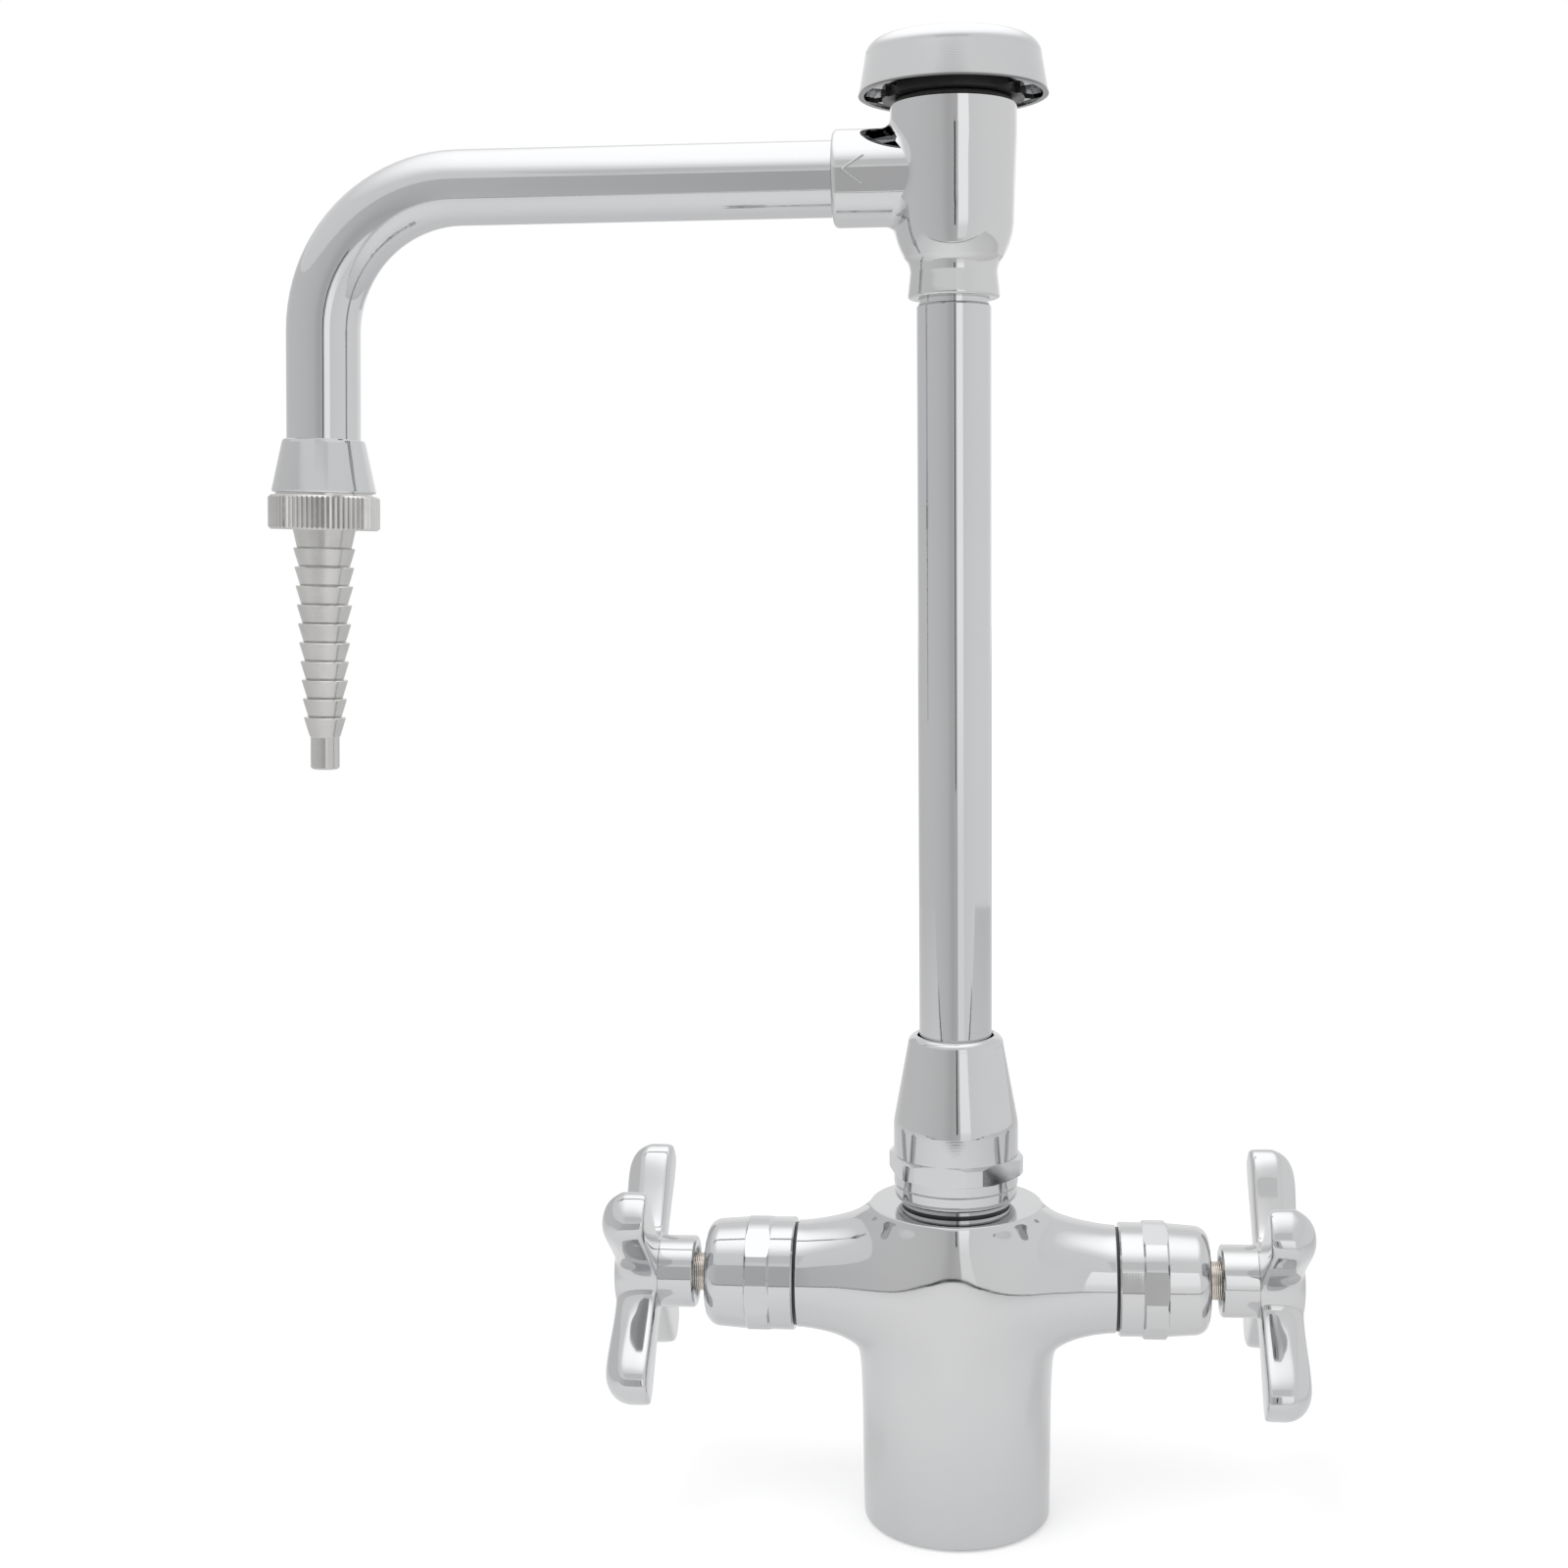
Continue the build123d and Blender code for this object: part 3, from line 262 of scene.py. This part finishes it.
def dress_nodes():
    """Give every CAD node the finish of its own piece; returns the castings' chrome."""
    cast, drawn = cast_chrome(), drawn_chrome()
    upright = turned_finish("turned_chrome_upright", "Z").material
    sideways = turned_finish("turned_chrome_sideways", "X").material
    cap = cap_chrome_painted_rim_shade()
    nickel, spindle, brass = dull_nickel(), spindle_nickel(), plain_brass()
    plastic = moulded("black_plastic", (0.016, 0.016, 0.018), (0.024, 0.024, 0.026), (0.28, 0.42))
    rubber = moulded("black_rubber", (0.022, 0.021, 0.021), (0.032, 0.031, 0.030), (0.5, 0.7))
    packing = moulded("white_packing", (0.80, 0.79, 0.76), (0.74, 0.73, 0.70), (0.4, 0.55))
    fibre = moulded("grey_fibre", (0.26, 0.25, 0.24), (0.20, 0.19, 0.18), (0.65, 0.85), 700, 0.03)
    red = enamel("red_enamel", (0.52, 0.025, 0.02), (0.46, 0.02, 0.018))
    blue = enamel("blue_enamel", (0.02, 0.07, 0.42), (0.018, 0.06, 0.36))
    worn = {
        cast: ["faucet_body", "breaker_body", "left_handle", "right_handle"],
        drawn: ["riser_tube", "spout_tube"],
        upright: ["swivel_adapter", "swivel_nut", "outlet_adapter"],
        cap: ["breaker_cap"],
        sideways: ["left_bonnet_nut", "right_bonnet_nut"],
        nickel: ["hose_end", "left_handle_screw", "right_handle_screw"],
        spindle: ["left_spindle", "right_spindle"],
        brass: ["swivel_bush", "breaker_seat"],
        plastic: ["adapter_gasket", "breaker_bonnet", "left_bonnet_gasket", "right_bonnet_gasket"],
        rubber: ["lower_swivel_ring", "upper_swivel_ring", "bonnet_ring", "poppet_seal", "vent_seal"],
        packing: ["swivel_washer", "poppet", "left_packing", "right_packing"],
        fibre: ["outlet_washer"],
        red: ["left_index_button"],
        blue: ["right_index_button"],
    }
    valve_brass = ("valve_seat", "valve_sleeve", "packing_washer", "disc_holder", "washer_screw")
    for side in ("left", "right"):
        worn[brass] += [f"{side}_{piece}" for piece in valve_brass]
        worn[rubber].append(f"{side}_seat_washer")
    for material, names in worn.items():
        for name in names:
            for slot in nodes[name].material_slots:
                slot.material = material
    bare = set(nodes) - {name for names in worn.values() for name in names}
    if bare:
        raise RuntimeError(f"pieces without a finish: {sorted(bare)}")
    return cast


# Smoothed skins, which the casting, the arrow and the handles share
def spin_section(bm, mark, section, steps):
    """Spin a closed section of (radius, height) about the upright axis; the mark keeps each ring's row."""
    corners = []
    for row, (radius, height) in enumerate(section):
        corner = bm.verts.new((radius, 0, height))
        corner[mark] = row
        corners.append(corner)
    edges = [bm.edges.new(pair) for pair in zip(corners, corners[1:] + corners[:1])]
    bmesh.ops.spin(
        bm, geom=corners + edges, axis=(0, 0, 1), cent=(0, 0, 0), angle=2 * pi, steps=steps, use_merge=True
    )


def column_of(point, count):
    """Which of the columns round the axis a point stands in, counted both ways from the X axis."""
    return round(degrees(atan2(point.y, point.x)) * count / 360)


def pull_out(bm, skin):
    """Extrude a patch of the skin and drop the patch itself; returns its new faces and new corners."""
    drawn = bmesh.ops.extrude_face_region(bm, geom=skin)["geom"]
    bmesh.ops.delete(bm, geom=skin, context="FACES")
    faces = [g for g in drawn if isinstance(g, bmesh.types.BMFace)]
    corners = [g for g in drawn if isinstance(g, bmesh.types.BMVert)]
    return faces, corners


def crease(bm, mark, sharp, clear_of=0):
    """Hold the rings whose mark is listed, further than clear_of from the axis; the rest stays soft."""
    layer = bm.edges.layers.float.get("crease_edge") or bm.edges.layers.float.new("crease_edge")
    for edge in bm.edges:
        a, b = (corner[mark] for corner in edge.verts)
        nearest = min(corner.co.xy.length for corner in edge.verts)
        if a == b and a in sharp and nearest > clear_of:
            edge[layer] = sharp[a]


def smooth_piece(bm, name, material, levels):
    """Turn a cage into a piece of the scene with a smooth skin."""
    bmesh.ops.recalc_face_normals(bm, faces=bm.faces)
    for face in bm.faces:
        face.smooth = True
    mesh = bpy.data.meshes.new(name)
    bm.to_mesh(mesh)
    bm.free()
    mesh.materials.append(material)
    piece = bpy.data.objects.new(name, mesh)
    bpy.context.scene.collection.objects.link(piece)
    smooth = piece.modifiers.new("smooth_skin", "SUBSURF")
    smooth.levels = smooth.render_levels = levels
    return piece


# Body casting
COLUMNS = 24
# A cage of that many columns shrinks by this much when it is smoothed
COLUMN_SWELL = 1.0115
# The column's section as (radius, height), from the mounting hole's mouth all round to its roof
COLUMN_SECTION = [
    (14.2, 0.0), (22.3, 0.0), (22.85, 0.6), (23.05, 14.0), (23.15, 30.0), (23.15, 41.0), (23.15, 48.0),
    (23.15, 54.5), (23.05, 61.0), (22.75, 67.5), (22.1, 73.6), (21.4, 77.4), (20.8, 78.4), (16.0, 78.4),
    (12.0, 78.4), (12.0, 66.0), (2.2, 66.0), (2.2, 14.0), (4.2, 14.0), (7.5, 14.0), (10.8, 14.0),
    (14.2, 14.0),
]
COLUMN_CREASES = {0: 1, 1: 0.6, 2: 0.6, 12: 0.7, 14: 1, 15: 1, 16: 1, 17: 1, 21: 1}
# The patches that are drawn out: columns to each side of the X axis, first and last row of the section
ARM_PATCH = (4, (5, 10))
INLET_PATCH = (2, (18, 20))
# An arm at each step outwards and then back in: distance at its top and at its sides, half width, and
# how far it reaches below and above the valve's axis
ARM_STEPS = [
    (22.0, 12.0, 20.3, 18.3, 17.0),
    (25.0, 18.4, 17.9, 16.6, 15.5),
    (29.2, 24.8, 15.5, 14.4, 14.3),
    (33.5, 32.0, 13.6, 13.5, 13.5),
    (37.0, 36.8, 13.05, 13.0, 13.0),
    (38.65, 38.65, 12.97, 12.97, 12.97),
    (38.65, 38.65, 11.14, 11.14, 11.14),
    (52.0, 52.0, 11.14, 11.14, 11.14),
    (52.0, 52.0, 8.66, 8.66, 8.66),
    (15.0, 15.0, 8.66, 8.66, 8.66),
]
ARM_CREASES = {6: 0.8, 7: 1, 8: 1, 9: 1, 10: 1}
# The first step stands this far proud of the column, so that the arm leaves it softly
ARM_ROOT_PROUD = 0.3
INLET_X, INLET_CAGE_R = 7.5, 4.7
INLET_STEPS = (14.0, 24.0)
INLET_CREASES = {1: 1, 2: 1}
# How far each row stands in or out where the shoulders run from the front and back into the arms
SHOULDER = {7: 0.15, 8: 0.15, 9: 0.0, 10: -0.3, 11: -0.7, 12: -0.6}
SHOULDER_COLUMNS = (3, 4, 5, 7, 8, 9)


def in_the_round(u, v):
    """Where a point of a square falls once the square is drawn into a round."""
    return u * sqrt(1 - v * v / 2), v * sqrt(1 - u * u / 2)


def arm_corner(step, u, v, radius):
    """A corner of the right arm's cage, from its place on the patch, -1 to 1 each way."""
    top, side, half, below, above = ARM_STEPS[step]
    across, up = in_the_round(u, v)
    height = VALVE_Z + (above - below) / 2 + up * (above + below) / 2
    if step == 0:
        return Vector((sqrt((radius + ARM_ROOT_PROUD) ** 2 - (half * across) ** 2), half * across, height))
    return Vector((top + (side - top) * across ** 2, half * across, height))


def inlet_corner(step, u, v, radius):
    """A corner of an inlet's bore, from its place on the patch."""
    across, out = in_the_round(u, v)
    return Vector((INLET_X + INLET_CAGE_R * out, INLET_CAGE_R * across, INLET_STEPS[step]))


def draw_out(bm, marks, turn, patch, corner_at, steps):
    """Draw a patch of the spun skin out, step by step, to the corners that corner_at gives."""
    row_mark, column_mark, step_mark = marks
    reach, rows = patch
    middle, half = sum(rows) / 2, (rows[1] - rows[0]) / 2
    rotate = Matrix.Rotation(turn, 3, "Z")

    def move(corner, step):
        u, v = corner[column_mark] / reach, (corner[row_mark] - middle) / half
        corner.co = rotate @ corner_at(step, u, v, corner.co.xy.length)
        on_rim = max(abs(u), abs(v)) > 0.99
        corner[step_mark] = step + 1 if on_rim else 0

    for corner in bm.verts:
        corner[column_mark] = column_of(rotate.transposed() @ corner.co, COLUMNS)
        corner[step_mark] = 0
    inside = {c for c in bm.verts if abs(c[column_mark]) <= reach and rows[0] <= c[row_mark] <= rows[1]}
    skin = [face for face in bm.faces if inside.issuperset(face.verts)]
    for corner in inside:
        move(corner, 0)
    for step in range(1, steps):
        skin, corners = pull_out(bm, skin)
        for corner in corners:
            move(corner, step)
    for corner in bm.verts:
        if corner[step_mark]:
            corner[row_mark] = -1


def build_casting(chrome):
    """The body casting as one polished skin: column, flat crown and the two arms flowing out of it."""
    bm = bmesh.new()
    marks = [bm.verts.layers.int.new(name) for name in ("row", "column", "step")]
    row_mark, _, step_mark = marks
    section = [(radius * COLUMN_SWELL, height) for radius, height in COLUMN_SECTION]
    spin_section(bm, row_mark, section, COLUMNS)
    for corner in bm.verts:
        if column_of(corner.co, COLUMNS) % (COLUMNS // 2) in SHOULDER_COLUMNS:
            corner.co.xy *= 1 + SHOULDER.get(corner[row_mark], 0) / corner.co.xy.length
    crease(bm, row_mark, COLUMN_CREASES)
    for turn in (0, pi):
        draw_out(bm, marks, turn, ARM_PATCH, arm_corner, len(ARM_STEPS))
        crease(bm, step_mark, ARM_CREASES)
        draw_out(bm, marks, turn, INLET_PATCH, inlet_corner, len(INLET_STEPS))
        crease(bm, step_mark, INLET_CREASES)
    bmesh.ops.scale(bm, vec=(MM, MM, MM), verts=bm.verts)
    body = smooth_piece(bm, "polished_body", chrome, 3)
    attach(body, "base")
    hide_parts("faucet_body")


# Flow arrow
COLLAR_R = 11.1
ARROW_TIP_X = -25.2
ARROW_LEG = 4.8
ARROW_LIFT, ARROW_SPREAD = radians(1.3), radians(16.5)
ARROW_HEIGHT, ARROW_HALF_WIDTH = 0.75, 0.75
# The ridge's sides start this far below the collar's skin, and its foot lies inside, at this radius
ARROW_ROOT, ARROW_FOOT_R = 0.35, 10.6


def build_flow_arrow(chrome):
    """The raised arrow cast on the branch collar: a low ridge with its point towards the outlet."""
    bm = bmesh.new()
    bmesh.ops.create_grid(bm, x_segments=12, y_segments=4, size=1)
    for corner in bm.verts:
        along, across = corner.co.x, corner.co.y
        swing = ARROW_LIFT + ARROW_SPREAD * along
        out = COLLAR_R - ARROW_ROOT + (ARROW_HEIGHT + ARROW_ROOT) * cos(across * pi / 2)
        back = ARROW_TIP_X + ARROW_LEG * abs(along) + ARROW_HALF_WIDTH * across
        corner.co = Vector((back, -out * cos(swing), out * sin(swing)))
    foot = bmesh.ops.extrude_face_region(bm, geom=bm.faces[:])["geom"]
    for corner in [g for g in foot if isinstance(g, bmesh.types.BMVert)]:
        corner.co.yz *= ARROW_FOOT_R / corner.co.yz.length
    place = Matrix.Scale(MM, 4) @ Matrix.Translation((0, 0, SPOUT_Z))
    bmesh.ops.transform(bm, matrix=place, verts=bm.verts)
    arrow = smooth_piece(bm, "flow_arrow", chrome, 2)
    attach(arrow, "spout")


# Cross handles
HANDLE_FACE_X = 72.6
HANDLE_TURN = {"left": radians(-46.0), "right": radians(49.5)}
HUB_COLUMNS = 16
# The hub's section as (radius, height above the handle's inner face); the arms grow from its first rows
HUB_SECTION = [
    (9.2, 0.0), (9.5, 0.9), (9.6, 4.5), (9.0, 9.9), (7.9, 10.9), (6.75, 10.9), (6.75, 5.7), (4.9, 5.7),
    (4.9, -8.7), (8.4, -8.7), (8.92, -8.2), (8.92, -7.4), (8.92, -0.7), (8.92, 0.0),
]
ARM_ROWS = 4
HUB_CREASES = {5: 0.9, 6: 0.9, 9: 0.6, 10: 0.6, 13: 0.9}
# The edges along an arm's flanks are held from this far out
FLANK_CREASE = {2: 0.55}
FLANK_FROM = 9.8
# An arm at growing distances from the axis: half width, heights of flank edge and of the crown
ARM_STATIONS = [
    (8.0, 4.7, 5.4, 11.0),
    (13.0, 4.8, 6.3, 10.9),
    (19.5, 5.3, 6.8, 11.3),
    (25.5, 6.1, 7.0, 11.6),
    (29.2, 6.3, 6.8, 11.2),
    (31.8, 5.6, 6.1, 9.7),
    (33.25, 3.9, 5.1, 7.4),
]
# How much further out the middle of the arm's end stands, by row
ARM_END_ROUND = (0.0, 0.5, 0.5, 0.1)
# The bevel along the arm's inner edges, and how wide and how high the crown's two edges stand
BEVEL_WIDE, BEVEL_HIGH = 0.8, 1.0
CROWN_WIDTH, CROWN_EDGE = 0.66, 0.8
NOT_ON_THE_ARM = 9


def arm_point(station, column, row):
    """A corner of the arm's cage: column -1, 0 or 1 across it, row 0 (inside) to 3 (crown)."""
    along, half, flank, crown = ARM_STATIONS[station]
    top = crown if column == 0 else flank + CROWN_EDGE * (crown - flank)
    across = (half - BEVEL_WIDE, half, half, half * CROWN_WIDTH)[row]
    height = (0.0, BEVEL_HIGH, flank, top)[row]
    if column == 0 and station == len(ARM_STATIONS) - 1:
        along += ARM_END_ROUND[row]
    return Vector((along, column * across, height))


def cross_handle(side_name, side, chrome):
    """A cast cross handle: a spun hub with four arms drawn out of it, smoothed as one skin."""
    bm = bmesh.new()
    row_mark, column_mark = (bm.verts.layers.int.new(name) for name in ("row", "column"))
    spin_section(bm, row_mark, HUB_SECTION, HUB_COLUMNS)
    for quarter in range(4):
        turn = Matrix.Rotation(quarter * pi / 2, 3, "Z")
        for corner in bm.verts:
            column = column_of(turn.transposed() @ corner.co, HUB_COLUMNS)
            corner[column_mark] = column if abs(column) < 2 else NOT_ON_THE_ARM
        arm = {c for c in bm.verts if c[column_mark] != NOT_ON_THE_ARM and c[row_mark] < ARM_ROWS}
        skin = [face for face in bm.faces if arm.issuperset(face.verts)]
        for corner in arm:
            corner.co = turn @ arm_point(0, corner[column_mark], corner[row_mark])
        for station in range(1, len(ARM_STATIONS)):
            skin, corners = pull_out(bm, skin)
            for corner in corners:
                corner.co = turn @ arm_point(station, corner[column_mark], corner[row_mark])
    crease(bm, row_mark, HUB_CREASES)
    crease(bm, row_mark, FLANK_CREASE, clear_of=FLANK_FROM)
    to_place = Matrix(((0, 0, side), (side, 0, 0), (0, 1, 0))).to_4x4()
    place = Matrix.Translation((side * HANDLE_FACE_X * MM, 0, VALVE_Z * MM)) @ to_place
    spin = Matrix.Rotation(HANDLE_TURN[side_name], 4, "Z")
    bmesh.ops.transform(bm, matrix=place @ spin @ Matrix.Scale(MM, 4), verts=bm.verts)
    return smooth_piece(bm, f"{side_name}_cross_handle", chrome, 3)


def build_handles(chrome):
    """Both cross handles, each in place of the solid one and turning with its spindle."""
    for side_name, side in (("left", -1), ("right", 1)):
        handle = cross_handle(side_name, side, chrome)
        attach(handle, f"{side_name}_stem")
        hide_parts(f"{side_name}_handle")


# Floor and light
TENT_R = 0.9
TENT_ROOF_Z = 0.6
TENT_FOOT_Z = -0.4
# The wall runs this far round, with the front in its middle, and is open at the back
WALL_FROM, WALL_ROUND, WALL_STEPS = radians(-150), radians(300), 60
# The table's top lies a hair under the part, and its edge faces the camera
FLOOR_Z, FLOOR_EDGE_Y, LIP_Y = -0.0004, -0.36, -0.362
# Strengths along each board or outwards from its middle, as (metres, strength)
# The floor's glow in the metal is a painted pool of light, strongest under the faucet and fading outwards
FLOOR_PAINTED_GLOW_IN_METAL = [(0, 0.30), (0.15, 0.27), (0.35, 0.14), (0.9, 0.08)]
ROOF_STRENGTH = [(0, 1.68), (0.16, 1.64), (0.24, 1.44), (0.32, 1.12), (0.40, 0.94), (0.9, 0.90)]
WALL_STRENGTH = [(-0.9, 0.76), (-0.35, 0.68), (-0.12, 0.57), (0.1, 0.62), (0.4, 0.90), (0.9, 0.95)]
STRIP_STRENGTH = [(-0.2, 1.0), (0.05, 1.02), (0.2, 1.22), (0.56, 1.3)]
FLOOR_TO_THE_EYE = 0.38
ROOM_TO_THE_EYE, ROOM_LIGHT = 1.0, 0.80


def glow(name, strength=1.0):
    """A plain lit surface for the tent; returns it with its tree and the socket of its strength."""
    material = bpy.data.materials.new(name)
    material.use_nodes = True
    tree = material.node_tree
    tree.nodes.remove(tree.nodes["Principled BSDF"])
    light = tree.nodes.new("ShaderNodeEmission")
    light.inputs["Strength"].default_value = strength
    tree.links.new(light.outputs["Emission"], tree.nodes["Material Output"].inputs["Surface"])
    return material, tree, light.inputs["Strength"]


def graded(tree, target, axis, stops, centre=(0, 0, 0), stretch=(1, 1, 1)):
    """Grade a strength along an axis, or outwards, into one socket; stops are (metres, strength)."""
    where = tree.nodes.new("ShaderNodeTexCoord")
    mapping = tree.nodes.new("ShaderNodeMapping")
    mapping.inputs["Location"].default_value = [-c * s for c, s in zip(centre, stretch)]
    mapping.inputs["Scale"].default_value = stretch
    tree.links.new(where.outputs["Object"], mapping.inputs["Vector"])
    span = tree.nodes.new("ShaderNodeMapRange")
    span.inputs["From Min"].default_value = stops[0][0]
    span.inputs["From Max"].default_value = stops[-1][0]
    if axis == "out":
        reach = tree.nodes.new("ShaderNodeVectorMath")
        reach.operation = "LENGTH"
        tree.links.new(mapping.outputs["Vector"], reach.inputs[0])
        tree.links.new(reach.outputs["Value"], span.inputs["Value"])
    else:
        split = tree.nodes.new("ShaderNodeSeparateXYZ")
        tree.links.new(mapping.outputs["Vector"], split.inputs["Vector"])
        tree.links.new(split.outputs[axis], span.inputs["Value"])
    curve = tree.nodes.new("ShaderNodeFloatCurve")
    line = curve.mapping.curves[0]
    top = max(strength for _, strength in stops)
    length = stops[-1][0] - stops[0][0]
    points = [((at - stops[0][0]) / length, strength / top) for at, strength in stops]
    line.points[0].location = points[0]
    line.points[-1].location = points[-1]
    for point in points[1:-1]:
        line.points.new(*point)
    for point in line.points:
        point.handle_type = "VECTOR"
    curve.mapping.update()
    tree.links.new(span.outputs["Result"], curve.inputs["Value"])
    scaled = tree.nodes.new("ShaderNodeMath")
    scaled.operation = "MULTIPLY"
    scaled.inputs[1].default_value = top
    tree.links.new(curve.outputs["Value"], scaled.inputs[0])
    tree.links.new(scaled.outputs["Value"], target)


def mirrored_only(board):
    """A board that shows in polished metal, and neither blocks nor lights anything else."""
    board.visible_camera = False
    board.visible_shadow = False
    board.visible_diffuse = False


def stage_board(bm, name, material, seen=False):
    """Make a board of the tent from its mesh."""
    mesh = bpy.data.meshes.new(name)
    bm.to_mesh(mesh)
    bm.free()
    mesh.materials.append(material)
    board = bpy.data.objects.new(name, mesh)
    bpy.context.scene.collection.objects.link(board)
    if not seen:
        mirrored_only(board)


def card(name, low, high, material, seen=False):
    """A flat board, level or facing the front, given by two opposite corners."""
    low, high = Vector(low), Vector(high)
    bm = bmesh.new()
    bmesh.ops.create_grid(bm, x_segments=1, y_segments=1, size=0.5)
    if low.z != high.z:
        bmesh.ops.rotate(bm, cent=(0, 0, 0), matrix=Matrix.Rotation(pi / 2, 3, "X"), verts=bm.verts)
    bmesh.ops.scale(bm, vec=high - low, verts=bm.verts)
    bmesh.ops.translate(bm, vec=(low + high) / 2, verts=bm.verts)
    stage_board(bm, name, material, seen)


def lay_floor():
    """The white table: lit to white for the eye, and greyer as the metal shows it, with a painted pool of
    light there that fades outwards from under the faucet.
    """
    floor = bpy.data.materials.new("white_floor")
    floor.use_nodes = True
    tree = floor.node_tree
    shader = tree.nodes["Principled BSDF"]
    shader.inputs["Base Color"].default_value = (0.80, 0.80, 0.80, 1)
    shader.inputs["Roughness"].default_value = 0.9
    shader.inputs["Specular IOR Level"].default_value = 0.0
    shader.inputs["Emission Color"].default_value = (1, 1, 1, 1)
    path = tree.nodes.new("ShaderNodeLightPath")
    to_eye, painted_glow_in_metal = (tree.nodes.new("ShaderNodeMath") for _ in range(2))
    to_eye.operation, painted_glow_in_metal.operation = "MULTIPLY_ADD", "MULTIPLY"
    to_eye.inputs[1].default_value = FLOOR_TO_THE_EYE
    tree.links.new(path.outputs["Is Camera Ray"], to_eye.inputs[0])
    # Painted pool of light: as the metal shows it, the floor glows most under the faucet and less outwards
    tree.links.new(path.outputs["Is Glossy Ray"], painted_glow_in_metal.inputs[0])
    graded(tree, painted_glow_in_metal.inputs[1], "out", FLOOR_PAINTED_GLOW_IN_METAL, centre=(-0.02, -0.16, 0))
    tree.links.new(painted_glow_in_metal.outputs["Value"], to_eye.inputs[2])
    tree.links.new(to_eye.outputs["Value"], shader.inputs["Emission Strength"])
    card("floor", (-1.6, FLOOR_EDGE_Y, FLOOR_Z), (1.6, 6.0, FLOOR_Z), floor, seen=True)


def hang_roof():
    """The tent's roof, brightest over the faucet, with a duller flap over the camera."""
    roof, tree, strength = glow("roof_cloth")
    graded(tree, strength, "out", ROOF_STRENGTH, centre=(-0.02, 0.02, TENT_ROOF_Z), stretch=(0.95, 0.9, 1))
    card("roof", (-TENT_R, -TENT_R, TENT_ROOF_Z), (TENT_R, TENT_R, TENT_ROOF_Z), roof)
    flap, _, _ = glow("roof_flap", 0.80)
    under_roof = TENT_ROOF_Z - 0.002
    card("roof_flap", (-0.22, -0.70, under_roof), (0.20, -0.405, under_roof), flap)


def stand_walls():
    """The round wall of the tent, open behind the faucet."""
    wall, tree, strength = glow("wall_cloth")
    graded(tree, strength, "X", WALL_STRENGTH)
    bm = bmesh.new()
    start = Vector((TENT_R * sin(WALL_FROM), -TENT_R * cos(WALL_FROM), TENT_FOOT_Z))
    ends = [bm.verts.new(start), bm.verts.new(start + Vector((0, 0, TENT_ROOF_Z - TENT_FOOT_Z)))]
    edge = bm.edges.new(ends)
    bmesh.ops.spin(
        bm, geom=ends + [edge], axis=(0, 0, 1), cent=(0, 0, 0), angle=WALL_ROUND, steps=WALL_STEPS
    )
    stage_board(bm, "walls", wall)


def set_front():
    """What stands at the front: the strip light, the dark camera stand and the table's dark lip."""
    strip, tree, strength = glow("strip_light")
    graded(tree, strength, "Z", STRIP_STRENGTH)
    card("strip_light", (0.122, -0.74, -0.2), (0.40, -0.74, 0.56), strip)
    dark, _, _ = glow("dark_stand", 0.05)
    card("camera_stand", (0.030, -0.72, 0.10), (0.062, -0.72, 0.46), dark)
    card("front_lip", (-0.5, LIP_Y, 0.0), (0.5, LIP_Y, 0.007), dark)


def light_room():
    """A white room all round, and one soft lamp from the upper left."""
    world = bpy.data.worlds.new("white_room")
    bpy.context.scene.world = world
    world.use_nodes = True
    tree = world.node_tree
    room = tree.nodes["Background"]
    room.inputs["Color"].default_value = (1, 1, 1, 1)
    path = tree.nodes.new("ShaderNodeLightPath")
    eye_or_metal, seen = (tree.nodes.new("ShaderNodeMath") for _ in range(2))
    eye_or_metal.operation = seen.operation = "MAXIMUM"
    tree.links.new(path.outputs["Is Camera Ray"], eye_or_metal.inputs[0])
    tree.links.new(path.outputs["Is Glossy Ray"], eye_or_metal.inputs[1])
    tree.links.new(eye_or_metal.outputs["Value"], seen.inputs[0])
    tree.links.new(path.outputs["Is Transmission Ray"], seen.inputs[1])
    strength = tree.nodes.new("ShaderNodeMapRange")
    strength.inputs["To Min"].default_value = ROOM_LIGHT
    strength.inputs["To Max"].default_value = ROOM_TO_THE_EYE
    tree.links.new(seen.outputs["Value"], strength.inputs["Value"])
    tree.links.new(strength.outputs["Result"], room.inputs["Strength"])

    lamp = bpy.data.lights.new("key_light", "AREA")
    lamp.shape = "DISK"
    lamp.size = 0.5
    lamp.energy = 1.6
    key = bpy.data.objects.new("key_light", lamp)
    key.location = (-0.25, -0.35, 0.9)
    key.rotation_euler = (Vector((0, 0, 0.1)) - key.location).to_track_quat("-Z", "Y").to_euler()
    key.visible_camera = False
    key.visible_glossy = False
    bpy.context.scene.collection.objects.link(key)


def build_studio():
    """A white shooting table in a light tent."""
    bpy.context.scene.view_settings.view_transform = "Standard"
    lay_floor()
    hang_roof()
    stand_walls()
    set_front()
    light_room()


place_camera()
cast = dress_nodes()
build_casting(cast)
build_flow_arrow(cast)
build_handles(cast)
build_studio()
